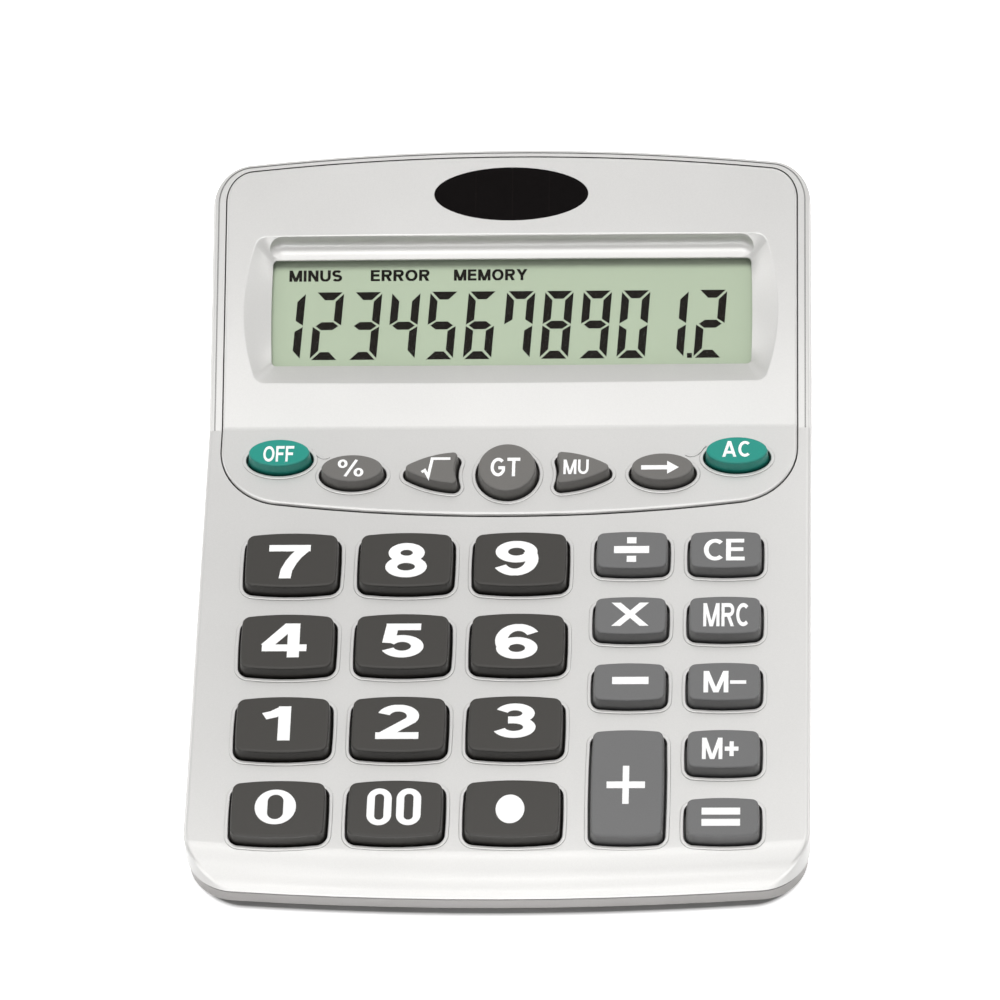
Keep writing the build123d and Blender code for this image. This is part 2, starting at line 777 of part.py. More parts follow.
with BuildPart() as head_panel:
    add(panel_band)
    with BuildSketch(Plane.XY):
        add(panel_outline)
    extrude(amount=2 * body_height, mode=Mode.INTERSECT)
    keypad_side = head_panel.faces().filter_by(keypad_plane).sort_by(keypad_axis)[-1]
    display_side = head_panel.faces().filter_by(display_plane).sort_by(display_axis)[-1]
    border = keypad_side.edges().filter_by(Axis.X, reverse=True) + display_side.edges().filter_by(
        Axis.X, reverse=True
    )
    fillet(border, panel_edge_radius)
    # Well behind the display, with its sloping cove, window and lens seat
    with BuildSketch(display_plane.offset(well_bottom)):
        with Locations((0, (well_low + well_high) / 2)):
            Rectangle(2 * well_half, well_high - well_low)
    extrude(amount=-wall / 2 - well_bottom)
    with BuildSketch(display_plane.offset(panel_raise)):
        with Locations((0, cove_middle)):
            add(cove_outline)
    with BuildSketch(display_plane.offset(-cove_depth)):
        with Locations((0, window_middle)):
            add(window_outline)
    loft(ruled=True, mode=Mode.SUBTRACT)
    with BuildSketch(display_plane.offset(-cove_depth)):
        with Locations((0, window_middle)):
            add(window_outline)
    extrude(amount=-window_lip, mode=Mode.SUBTRACT)
    with BuildSketch(display_plane.offset(well_bottom)):
        with Locations((0, window_middle)):
            Rectangle(2 * (lens_half + fit_gap), lens_high - lens_low + 2 * fit_gap)
    extrude(amount=lens_thickness, mode=Mode.SUBTRACT)
    display_side = head_panel.faces().filter_by(display_plane).sort_by(display_axis)[-1]
    fillet([edge for wire in display_side.inner_wires() for edge in wire.edges()], cove_edge_radius)
    # Scoop with round ends that undercuts the top of the cove
    with Locations(display_plane.location * Location((0, window_top, scoop_level), (0, 90, 0))):
        Cylinder(scoop_radius, 2 * scoop_half, mode=Mode.SUBTRACT)
    with Locations(*[display_plane.location * Location(place) for place in scoop_ends]):
        Sphere(scoop_radius, mode=Mode.SUBTRACT)
    # Stepped oval seat of the solar lens
    with BuildSketch(display_plane.offset(panel_raise)):
        with Locations((0, solar_v)):
            Ellipse(solar_width / 2 + fit_gap, solar_height / 2 + fit_gap)
    extrude(amount=solar_seat_level - panel_raise, mode=Mode.SUBTRACT)
    with BuildSketch(display_plane.offset(panel_raise)):
        with Locations((0, solar_v)):
            Ellipse(solar_width / 2 - solar_seat, solar_height / 2 - solar_seat)
    extrude(amount=-(panel_raise + 2 * wall), mode=Mode.SUBTRACT)
    # Openings of the function keys, each with a raised collar
    with BuildSketch(keypad_plane):
        for collar, x, v in panel_collars:
            with Locations((x, v)):
                add(collar)
    extrude(amount=panel_raise + collar_height)
    with BuildSketch(keypad_plane.offset(panel_raise + collar_height)):
        for opening, x, v in panel_openings:
            with Locations((x, v)):
                add(opening)
    extrude(amount=-(panel_raise + collar_height + 2 * wall), mode=Mode.SUBTRACT)
    collar_tops = head_panel.faces().filter_by(keypad_plane).group_by(keypad_axis)[-1]
    fillet(collar_tops.edges(), collar_round)
    # Snap hooks that catch under the ledge
    with BuildSketch(display_plane.offset(-wall / 2)):
        with Locations(*hook_places):
            Rectangle(hook_thickness, hook_length)
    extrude(amount=nose_top - hook_nose + wall / 2)
    with BuildSketch(display_plane.offset(nose_top)):
        with Locations(*nose_places):
            Rectangle(hook_thickness + hook_nose, hook_length)
    extrude(amount=-hook_nose)
    # Bosses for the screws of the display holder
    with BuildSketch(display_plane.offset(reflector_bottom)):
        with Locations(*holder_bosses):
            Circle(holder_boss_radius)
    extrude(amount=well_bottom - reflector_bottom)
    with BuildSketch(display_plane.offset(reflector_bottom)):
        with Locations(*holder_bosses):
            Circle(holder_screw_radius)
    extrude(amount=holder_screw_length - holder_thickness + pilot_room, mode=Mode.SUBTRACT)
head_panel.part.label = "head_panel"
export_step(head_panel.part, "parts/head_panel.step")

with BuildPart() as display_window:
    with BuildSketch(display_plane.offset(well_bottom)):
        with Locations((0, window_middle)):
            Rectangle(2 * lens_half, lens_high - lens_low)
    extrude(amount=lens_thickness)
display_window.part.label = "display_window"
export_step(display_window.part, "parts/display_window.step")

with BuildPart() as lcd_glass:
    with BuildSketch(display_plane.offset(glass_bottom)):
        with Locations((0, window_middle)):
            Rectangle(2 * glass_half, glass_high - glass_low)
    extrude(amount=glass_thickness)
lcd_glass.part.label = "lcd_glass"
export_step(lcd_glass.part, "parts/lcd_glass.step")

reflector_low = glass_low + contact_strip
with BuildPart() as lcd_reflector:
    with BuildSketch(display_plane.offset(reflector_bottom)):
        with Locations((0, (reflector_low + glass_high) / 2)):
            Rectangle(2 * glass_half, glass_high - reflector_low)
    extrude(amount=reflector_thickness)
lcd_reflector.part.label = "lcd_reflector"
export_step(lcd_reflector.part, "parts/lcd_reflector.step")

# Plate that clamps the glass, with an ear round each screw
holder_ear = 2 * holder_boss_radius
with BuildPart() as lcd_holder:
    with BuildSketch(display_plane.offset(holder_bottom)):
        with Locations((0, (reflector_low + glass_high) / 2)):
            Rectangle(2 * holder_boss_x, glass_high - reflector_low)
        with Locations(*holder_bosses):
            Circle(holder_boss_radius)
        for x, v in holder_bosses:
            with Locations((x, (v + window_middle) / 2)):
                Rectangle(holder_ear, abs(v - window_middle))
        with Locations(*holder_bosses):
            Circle(holder_screw_radius + hole_gap, mode=Mode.SUBTRACT)
    extrude(amount=holder_thickness)
lcd_holder.part.label = "lcd_holder"
export_step(lcd_holder.part, "parts/lcd_holder.step")

with BuildPart() as holder_screws:
    with BuildSketch(display_plane.offset(holder_bottom)):
        with Locations(*holder_bosses):
            Circle(holder_head_radius)
    extrude(amount=-holder_head_height)
    with BuildSketch(display_plane.offset(holder_bottom)):
        with Locations(*holder_bosses):
            Circle(holder_screw_radius)
    extrude(amount=holder_screw_length)
holder_screws.part.label = "holder_screws"
export_step(holder_screws.part, "parts/holder_screws.step")

# Flexible strip from the lower edge of the glass to the underside of the board
ribbon_under_glass = glass_bottom - ribbon_thickness
ribbon_under_board = board_bottom - ribbon_thickness
with BuildPart() as lcd_ribbon:
    with BuildSketch(Plane.YZ):
        with BuildLine():
            Polyline(
                on_plane(display_plane, glass_low + ribbon_bond, glass_bottom),
                on_plane(display_plane, glass_low, glass_bottom),
                on_plane(keypad_plane, board_back_v, board_bottom),
                on_plane(keypad_plane, board_back_v - ribbon_bond, board_bottom),
                on_plane(keypad_plane, board_back_v - ribbon_bond, ribbon_under_board),
                on_plane(keypad_plane, board_back_v, ribbon_under_board),
                on_plane(display_plane, glass_low, ribbon_under_glass),
                on_plane(display_plane, glass_low + ribbon_bond, ribbon_under_glass),
                close=True,
            )
        make_face()
    extrude(amount=ribbon_width / 2, both=True)
lcd_ribbon.part.label = "lcd_ribbon"
export_step(lcd_ribbon.part, "parts/lcd_ribbon.step")

with BuildPart() as solar_lens:
    with BuildSketch(display_plane.offset(solar_seat_level)):
        with Locations((0, solar_v)):
            Ellipse(solar_width / 2, solar_height / 2)
    extrude(amount=solar_lens_thickness)
solar_lens.part.label = "solar_lens"
export_step(solar_lens.part, "parts/solar_lens.step")

with BuildPart() as solar_cell:
    with BuildSketch(display_plane.offset(-wall)):
        with Locations((0, solar_v)):
            Rectangle(solar_cell_width, solar_cell_height)
    extrude(amount=-solar_cell_thickness)
solar_cell.part.label = "solar_cell"
export_step(solar_cell.part, "parts/solar_cell.step")


def make_key(name, cap, x, v, top):
    """Hollow key cap with a flange under the case wall and a stem that rests on its dome."""
    narrowing = (top - flange_bottom) * tan(radians(key_draft))
    outline = cap()
    crown_outline = cap(-narrowing)
    flange = cap(flange_reach)
    hollow = cap(-key_skirt - narrowing)
    hollow_top = top - key_roof
    with BuildPart() as key:
        with BuildSketch(keypad_plane.offset(flange_bottom)):
            with Locations((x, v)):
                add(outline)
        with BuildSketch(keypad_plane.offset(top)):
            with Locations((x, v)):
                add(crown_outline)
        loft(ruled=True)
        crown = key.faces().sort_by(keypad_axis)[-1]
        fillet(crown.edges(), key_edge_radius)
        with BuildSketch(keypad_plane.offset(flange_bottom)):
            with Locations((x, v)):
                add(flange)
        extrude(amount=flange_thickness)
        with BuildSketch(keypad_plane.offset(flange_bottom)):
            with Locations((x, v)):
                add(hollow)
        extrude(amount=hollow_top - flange_bottom, mode=Mode.SUBTRACT)
        with BuildSketch(keypad_plane.offset(stem_end)):
            with Locations((x, v)):
                Circle(stem_radius)
        extrude(amount=hollow_top - stem_end + key_roof / 2)
    key.part.label = name
    export_step(key.part, "parts/" + name + ".step")


for name, (cap, x, v) in field_keys.items():
    make_key(name, cap, x, v, key_height)

for name, (cap, x, v) in panel_keys.items():
    make_key(name, cap, x, v, key_height + panel_raise)

# Silicone sheet with a hollow dome and a contact pill under each key
dome_places = [(x, v) for _, x, v in list(field_keys.values()) + list(panel_keys.values())]
hollow_top = stem_end - dome_roof
pill_bottom = board_top + key_travel
with BuildPart() as key_mat:
    with BuildSketch(keypad_plane.offset(board_top)):
        with Locations((0, (mat_front_v + mat_back_v) / 2)):
            Rectangle(2 * (half_width - mat_side_margin), mat_back_v - mat_front_v)
        with Locations(*inner_bosses):
            Circle(board_boss_radius + hole_gap, mode=Mode.SUBTRACT)
    extrude(amount=mat_thickness)
    for x, v in dome_places:
        dome_middle = (mat_top + stem_end) / 2
        with Locations(keypad_plane.location * Location((x, v, dome_middle))):
            Cone(dome_base_radius, dome_top_radius, dome_height)
    hollow_height = hollow_top - board_top
    hollow_base = dome_base_radius - dome_wall
    hollow_crown = dome_top_radius - dome_wall
    for x, v in dome_places:
        with Locations(keypad_plane.location * Location((x, v, board_top + hollow_height / 2))):
            Cone(hollow_base, hollow_crown, hollow_height, mode=Mode.SUBTRACT)
    with BuildSketch(keypad_plane.offset(pill_bottom)):
        with Locations(*dome_places):
            Circle(pill_radius)
    extrude(amount=hollow_top - pill_bottom + dome_roof / 2)
key_mat.part.label = "key_mat"
export_step(key_mat.part, "parts/key_mat.step")

notch_v = middle_post_v + board_bottom * tan(radians(keypad_tilt))
notch_radius = post_radius + 2 * hole_gap
board_width = 2 * (half_width - board_side_margin)
with BuildPart() as main_board:
    with BuildSketch(keypad_plane.offset(board_bottom)):
        with Locations((0, (board_front_v + board_back_v) / 2)):
            RectangleRounded(board_width, board_back_v - board_front_v, board_corner)
        with Locations(*board_bosses):
            Circle(board_screw_radius + hole_gap, mode=Mode.SUBTRACT)
        with Locations((-side_post_x, notch_v), (side_post_x, notch_v)):
            Circle(notch_radius, mode=Mode.SUBTRACT)
    extrude(amount=board_thickness)
main_board.part.label = "main_board"
export_step(main_board.part, "parts/main_board.step")

with BuildPart() as board_screws:
    with BuildSketch(keypad_plane.offset(board_bottom)):
        with Locations(*board_bosses):
            Circle(board_head_radius)
    extrude(amount=-board_head_height)
    with BuildSketch(keypad_plane.offset(board_bottom)):
        with Locations(*board_bosses):
            Circle(board_screw_radius)
    extrude(amount=board_screw_length)
board_screws.part.label = "board_screws"
export_step(board_screws.part, "parts/board_screws.step")

# Epoxy drop over the chip, a shallow cap of a sphere under the board
blob_sphere = bow_radius(blob_radius, blob_height)
blob_centre = board_bottom + blob_sphere - blob_height
with BuildPart() as controller_blob:
    with Locations(keypad_plane.location * Location((blob_x, blob_v, blob_centre))):
        Sphere(blob_sphere)
    split(bisect_by=keypad_plane.offset(board_bottom), keep=Keep.BOTTOM)
controller_blob.part.label = "controller_blob"
export_step(controller_blob.part, "parts/controller_blob.step")

with BuildPart() as capacitor:
    with BuildSketch(keypad_plane.offset(board_bottom)):
        with Locations((capacitor_x, capacitor_v)):
            Circle(capacitor_radius)
    extrude(amount=-capacitor_length)
    chamfer(capacitor.faces().sort_by(keypad_axis)[0].edges(), capacitor_chamfer)
capacitor.part.label = "capacitor"
export_step(capacitor.part, "parts/capacitor.step")

# Battery bay, open towards the underside, with the cell along X and its nub to the right
bay_length = cell_length + contact_thickness + leaf_reach + contact_thickness
bay_half = bay_length / 2
bay_depth = 2 * (cell_radius + bay_gap)
bay_front = bay_y - bay_depth / 2
door_thickness = wall - slide_gap
door_top = ground_clearance + door_thickness
bay_top = door_top + 2 * (cell_radius + bay_gap)
roof_top = bay_top + bay_wall
cell_z = door_top + bay_gap + cell_radius
door_half = bay_half + door_margin
tongue_bottom = door_top - tongue_thickness
door_front = bay_front + slide_gap
tongue_half = door_half + tongue_reach
guide_half = door_half + guide_reach
positive_x = bay_half - contact_thickness / 2
negative_x = -positive_x
foot_rows = [front_y + foot_front_inset, back_y - foot_back_inset]
foot_places = [(side * foot_x, y) for y in foot_rows for side in (-1, 1)]

# Raised lip inside the seam, clear of the posts of the upper half
lip_inner = body(-wall - fit_gap - seam_lip_thickness)
lip_outer = body(wall / 4 - wall)
with BuildPart() as seam_lip:
    with BuildSketch(Plane.XY.offset(floor_z - wall / 2)):
        add(cavity_outline)
        add(lip_inner, mode=Mode.SUBTRACT)
    extrude(amount=body_height)
    split(bisect_by=seam_plane.offset(seam_lip_height), keep=Keep.BOTTOM)
    add(seam_trim, mode=Mode.INTERSECT)
    for x, y in post_places:
        with BuildSketch(Plane.XY.offset(seam_z(y))):
            with Locations((x, y)):
                Circle(standoff_radius + fit_gap)
        extrude(amount=body_height, mode=Mode.SUBTRACT)
    with BuildSketch(Plane.XY.offset(seam_z(rear_post_y))):
        with Locations(*post_places[4:]):
            Rectangle(2 * (half_width - side_post_x), rear_rib_thickness + 2 * hole_gap)
    extrude(amount=body_height, mode=Mode.SUBTRACT)

with BuildPart() as lower_case:
    with BuildSketch(Plane.XY.offset(ground_clearance)):
        add(lower_outline)
    extrude(amount=body_height)
    fillet(lower_case.faces().sort_by(Axis.Z)[0].edges(), bottom_edge_radius)
    with BuildSketch(Plane.XY.offset(floor_z)):
        add(cavity_outline)
    extrude(amount=2 * body_height, mode=Mode.SUBTRACT)
    with BuildSketch(Plane.XY.offset(floor_z)):
        add(lip_outer)
        add(lip_inner, mode=Mode.SUBTRACT)
    extrude(amount=body_height)
    split(bisect_by=seam_plane, keep=Keep.BOTTOM)
    add(seam_lip.part)
    # Standoffs with a recess for each screw head
    for x, y in post_places:
        with BuildSketch(Plane.XY.offset(floor_z - wall / 2)):
            with Locations((x, y)):
                Circle(standoff_radius)
        extrude(amount=seam_z(y) - floor_z + wall / 2)
        with BuildSketch(Plane.XY.offset(ground_clearance)):
            with Locations((x, y)):
                Circle(case_head_radius + hole_gap)
        extrude(amount=seam_z(y) - screw_clamp - ground_clearance, mode=Mode.SUBTRACT)
    with BuildSketch(Plane.XY.offset(ground_clearance)):
        with Locations(*post_places):
            Circle(case_screw_radius + hole_gap)
    extrude(amount=body_height, mode=Mode.SUBTRACT)
    # Battery bay and the guides of its door
    with BuildSketch(Plane.XY.offset(floor_z)):
        with Locations((0, bay_y)):
            Rectangle(2 * (bay_half + bay_wall), bay_depth + 2 * bay_wall)
    extrude(amount=roof_top - floor_z)
    guide_back = back_y - wall - fit_gap - seam_lip_thickness - back_bow
    guide_run = guide_back - bay_front + bay_wall
    with BuildSketch(Plane.XY.offset(floor_z)):
        with Locations((0, guide_back - guide_run / 2)):
            Rectangle(2 * guide_half, guide_run)
            Rectangle(2 * bay_half, guide_run, mode=Mode.SUBTRACT)
    extrude(amount=guide_thickness)
    with BuildSketch(Plane.XY):
        with Locations((0, bay_y)):
            Rectangle(bay_length, bay_depth)
    extrude(amount=bay_top, mode=Mode.SUBTRACT)
    with BuildSketch(Plane.XY.offset(bay_top)):
        with Locations((positive_x, bay_y), (negative_x, bay_y)):
            Rectangle(contact_thickness + 2 * tab_gap, tab_width + 2 * tab_gap)
    extrude(amount=bay_wall, mode=Mode.SUBTRACT)
    # Door opening, wider above the lips that carry the tongues of the door
    door_run = back_y + run_out - bay_front
    with BuildSketch(Plane.XY):
        with Locations((0, bay_front + door_run / 2)):
            Rectangle(2 * (door_half + slide_gap), door_run)
    extrude(amount=floor_z, mode=Mode.SUBTRACT)
    with BuildSketch(Plane.XY.offset(tongue_bottom - slide_gap)):
        with Locations((0, bay_front + door_run / 2)):
            Rectangle(2 * (tongue_half + slide_gap), door_run)
    extrude(amount=floor_z - tongue_bottom + slide_gap, mode=Mode.SUBTRACT)
    # Recesses of the feet
    with BuildSketch(Plane.XY.offset(ground_clearance)):
        with Locations(*foot_places):
            Circle(foot_radius + fit_gap)
    extrude(amount=foot_recess, mode=Mode.SUBTRACT)
lower_case.part.label = "lower_case"
export_step(lower_case.part, "parts/lower_case.step")

with BuildPart() as battery_door:
    with BuildSketch(Plane.XY.offset(ground_clearance)):
        add(lower_outline)
    extrude(amount=door_thickness)
    fillet(battery_door.faces().sort_by(Axis.Z)[0].edges(), bottom_edge_radius)
    with BuildSketch(Plane.XZ.offset(-door_front)):
        with Locations((0, (ground_clearance + door_top) / 2)):
            Rectangle(2 * door_half, door_thickness)
        with Locations((0, door_top - tongue_thickness / 2)):
            Rectangle(2 * tongue_half, tongue_thickness)
    extrude(amount=-body_width, mode=Mode.INTERSECT)
    with BuildSketch(Plane.XY.offset(ground_clearance)):
        with Locations((0, back_y - grip_inset - grip_pitch * (grip_count - 1) / 2)):
            with GridLocations(grip_length, grip_pitch, 1, grip_count):
                SlotOverall(grip_length, grip_width)
    extrude(amount=grip_depth, mode=Mode.SUBTRACT)
battery_door.part.label = "battery_door"
export_step(battery_door.part, "parts/battery_door.step")

cell_right = bay_half - contact_thickness
cell_left = cell_right - cell_length
with BuildPart() as battery_cell:
    with BuildSketch(Plane.YZ.offset(cell_left)):
        with Locations((bay_y, cell_z)):
            Circle(cell_radius)
    extrude(amount=cell_length - nub_length)
    fillet(battery_cell.edges(), nub_length / 2)
    with BuildSketch(Plane.YZ.offset(cell_right - nub_length)):
        with Locations((bay_y, cell_z)):
            Circle(nub_radius)
    extrude(amount=nub_length)
battery_cell.part.label = "battery_cell"
export_step(battery_cell.part, "parts/battery_cell.step")

contact_bottom = door_top + bay_gap
contact_height = bay_top - contact_bottom
tab_top = roof_top + tab_height


def contact_plate(x):
    """Contact plate against the end of the bay, with a solder tab through the roof."""
    with BuildPart() as plate:
        with BuildSketch(Plane.YZ.offset(x - contact_thickness / 2)):
            with Locations((bay_y, contact_bottom + contact_height / 2)):
                Rectangle(contact_width, contact_height)
            with Locations((bay_y, (bay_top + tab_top) / 2)):
                Rectangle(tab_width, tab_top - bay_top)
        extrude(amount=contact_thickness)
    return plate.part


positive_plate = contact_plate(positive_x)
negative_plate = contact_plate(negative_x)

with BuildPart() as contact_positive:
    add(positive_plate)
contact_positive.part.label = "contact_positive"
export_step(contact_positive.part, "parts/contact_positive.step")

# The negative contact has a bowed leaf that bears on the flat end of the cell
leaf_root = negative_x + contact_thickness / 2
leaf_crest = cell_left - wire_end_gap
leaf_low = cell_z - leaf_half_height
leaf_high = cell_z + leaf_half_height
with BuildPart() as contact_negative:
    add(negative_plate)
    with BuildSketch(Plane.XZ.offset(-bay_y)):
        with BuildLine():
            outer = ThreePointArc((leaf_root, leaf_low), (leaf_crest, cell_z), (leaf_root, leaf_high))
            Line(outer @ 1, (leaf_root, leaf_high - 2 * contact_thickness))
            inner = ThreePointArc(
                (leaf_root, leaf_high - 2 * contact_thickness),
                (leaf_crest - contact_thickness, cell_z),
                (leaf_root, leaf_low + 2 * contact_thickness),
            )
            Line(inner @ 1, outer @ 0)
        make_face()
    extrude(amount=tab_width / 2, both=True)
contact_negative.part.label = "contact_negative"
export_step(contact_negative.part, "parts/contact_negative.step")


def wire(points):
    """Insulated wire along a route of straight runs joined by tangent arcs."""
    with BuildPart() as strand:
        with BuildLine() as route:
            FilletPolyline(*points, radius=wire_bend)
        with BuildSketch(Plane(origin=route.line @ 0, z_dir=route.line % 0)):
            Circle(wire_radius)
        sweep()
    return strand.part


def board_underside(v):
    """Y and Z of the underside of the board, just clear of it for the end of a wire."""
    return on_plane(keypad_plane, v, board_bottom - wire_end_gap)


battery_solder = board_underside(battery_solder_v)
wire_front = bay_front - bay_wall - wire_rise
battery_strands = [
    wire(
        [
            (x, bay_y, tab_top),
            (x, bay_y, tab_top + wire_rise),
            (x, wire_front, tab_top + wire_rise),
            (x, wire_front, wire_level),
            (x, battery_solder[0], wire_level),
            (x, battery_solder[0], battery_solder[1]),
        ]
    )
    for x in (negative_x, positive_x)
]
with BuildPart() as battery_wires:
    add(battery_strands)
battery_wires.part.label = "battery_wires"
export_step(battery_wires.part, "parts/battery_wires.step")

solar_back = -(wall + solar_cell_thickness)
solar_solder = board_underside(solar_solder_v)
solar_strands = [
    wire(
        [
            (x, *on_plane(display_plane, solar_v, solar_back)),
            (x, *on_plane(display_plane, solar_v, solar_back - solar_wire_drop)),
            (x, *on_plane(display_plane, solar_wire_low_v, solar_back - solar_wire_drop)),
            (x, solar_solder[0], wire_level),
            (x, *solar_solder),
        ]
    )
    for x in (-solar_wire_x, solar_wire_x)
]
with BuildPart() as solar_wires:
    add(solar_strands)
solar_wires.part.label = "solar_wires"
export_step(solar_wires.part, "parts/solar_wires.step")

with BuildPart() as case_screws:
    for x, y in post_places:
        with BuildSketch(Plane.XY.offset(seam_z(y) - screw_clamp)):
            with Locations((x, y)):
                Circle(case_head_radius)
        extrude(amount=-case_head_height)
        with BuildSketch(Plane.XY.offset(seam_z(y) - screw_clamp)):
            with Locations((x, y)):
                Circle(case_screw_radius)
        extrude(amount=case_screw_length)
case_screws.part.label = "case_screws"
export_step(case_screws.part, "parts/case_screws.step")

with BuildPart() as rubber_feet:
    with BuildSketch(Plane.XY):
        with Locations(*foot_places):
            Circle(foot_radius)
    extrude(amount=ground_clearance + foot_recess)
    chamfer(rubber_feet.edges().group_by(Axis.Z)[0], foot_recess)
rubber_feet.part.label = "rubber_feet"
export_step(rubber_feet.part, "parts/rubber_feet.step")
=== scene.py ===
"""Looks of a desk calculator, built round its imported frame: finishes, printing, display and studio.

Sizes are in metres, written as millimetres times MM. Across the case is x, up a slope of the case is v
and out of that slope is w.
"""
import json
import logging
import math
from dataclasses import dataclass, field
from enum import Enum
from typing import Callable, Iterable, Optional, Sequence

import bpy
from mathutils import Matrix, Vector

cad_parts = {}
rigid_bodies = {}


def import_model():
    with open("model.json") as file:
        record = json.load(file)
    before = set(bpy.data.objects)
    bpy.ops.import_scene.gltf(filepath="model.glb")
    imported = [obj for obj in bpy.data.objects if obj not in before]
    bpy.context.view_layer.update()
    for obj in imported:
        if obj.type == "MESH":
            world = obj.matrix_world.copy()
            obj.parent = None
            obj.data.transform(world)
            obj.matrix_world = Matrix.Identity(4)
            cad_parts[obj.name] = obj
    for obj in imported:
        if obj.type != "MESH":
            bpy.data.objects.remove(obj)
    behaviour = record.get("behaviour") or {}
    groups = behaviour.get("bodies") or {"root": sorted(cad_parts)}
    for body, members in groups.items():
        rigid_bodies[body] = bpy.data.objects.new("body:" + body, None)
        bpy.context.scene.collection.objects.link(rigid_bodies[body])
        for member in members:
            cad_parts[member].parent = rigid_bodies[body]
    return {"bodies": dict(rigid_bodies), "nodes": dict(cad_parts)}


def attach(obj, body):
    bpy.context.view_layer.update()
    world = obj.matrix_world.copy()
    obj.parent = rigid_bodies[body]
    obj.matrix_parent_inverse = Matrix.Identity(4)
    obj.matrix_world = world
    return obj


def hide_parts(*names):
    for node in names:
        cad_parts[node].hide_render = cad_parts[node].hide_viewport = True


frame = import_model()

Material = bpy.types.Material
Piece = bpy.types.Object
Socket = bpy.types.NodeSocket
Colour = tuple[float, float, float]
Tint = tuple[float, float, float, float]
Point = tuple[float, float]

LOG = logging.getLogger("calculator")
MM = 0.001
HAIR = 0.001 * MM
BLACK: Tint = (0.0, 0.0, 0.0, 1.0)
WHITE: Tint = (1.0, 1.0, 1.0, 1.0)
SEAM_HEIGHT = 11.61 * MM
SEAM_TILT = 2.5


class Slot(Enum):
    """Material slots of the record, one for each finish that the frame carries."""

    CASE_SILVER = "case_silver"
    CASE_GREY = "case_grey"
    BLACK_PLASTIC = "black_plastic"
    DIGIT_KEYS = "digit_keys"
    OPERATOR_KEYS = "operator_keys"
    FUNCTION_KEYS = "function_keys"
    TEAL_KEYS = "teal_keys"
    CLEAR_LENS = "clear_lens"
    LCD_GLASS = "lcd_glass"
    REFLECTOR_FILM = "reflector_film"
    SMOKED_LENS = "smoked_lens"
    SOLAR_DARK = "solar_dark"
    SCREW_STEEL = "screw_steel"
    CONTACT_STEEL = "contact_steel"
    RIBBON_FILM = "ribbon_film"
    SILICONE = "silicone"
    CIRCUIT_BOARD = "circuit_board"
    CAPACITOR_SLEEVE = "capacitor_sleeve"
    CELL_SLEEVE = "cell_sleeve"
    WIRE_SLEEVE = "wire_sleeve"
    FOOT_RUBBER = "foot_rubber"


class Axis(Enum):
    """Axis of the frame that a finish is measured along."""

    X = 0
    Y = 1
    Z = 2


class Share(Enum):
    """What a lamp gives: light on matt surfaces, or gleam in glossy ones."""

    LIGHT = "light"
    GLEAM = "gleam"


def mm(*sizes: float) -> tuple[float, ...]:
    """Metres of sizes given in millimetres."""
    return tuple(size * MM for size in sizes)


def paint(red: float, green: float, blue: float) -> Colour:
    """Colour as linear light.

    Args:
        red: display level, from 0 to 255.
        green: display level.
        blue: display level.

    Returns:
        The linear levels, from 0 to 1.
    """

    def linear(level: float) -> float:
        """Linear light of one channel."""
        share = level / 255.0
        return share / 12.92 if share <= 0.04045 else ((share + 0.055) / 1.055) ** 2.4

    return linear(red), linear(green), linear(blue)


def shade(colour: Colour, factor: float) -> Tint:
    """The colour made lighter or darker, with full opacity."""
    return tuple(min(1.0, channel * factor) for channel in colour) + (1.0,)


def box(places: Sequence[Vector]) -> tuple[Vector, Vector]:
    """Lowest and highest place along each axis."""
    return tuple(Vector(pick(place[axis] for place in places) for axis in range(3)) for pick in (min, max))


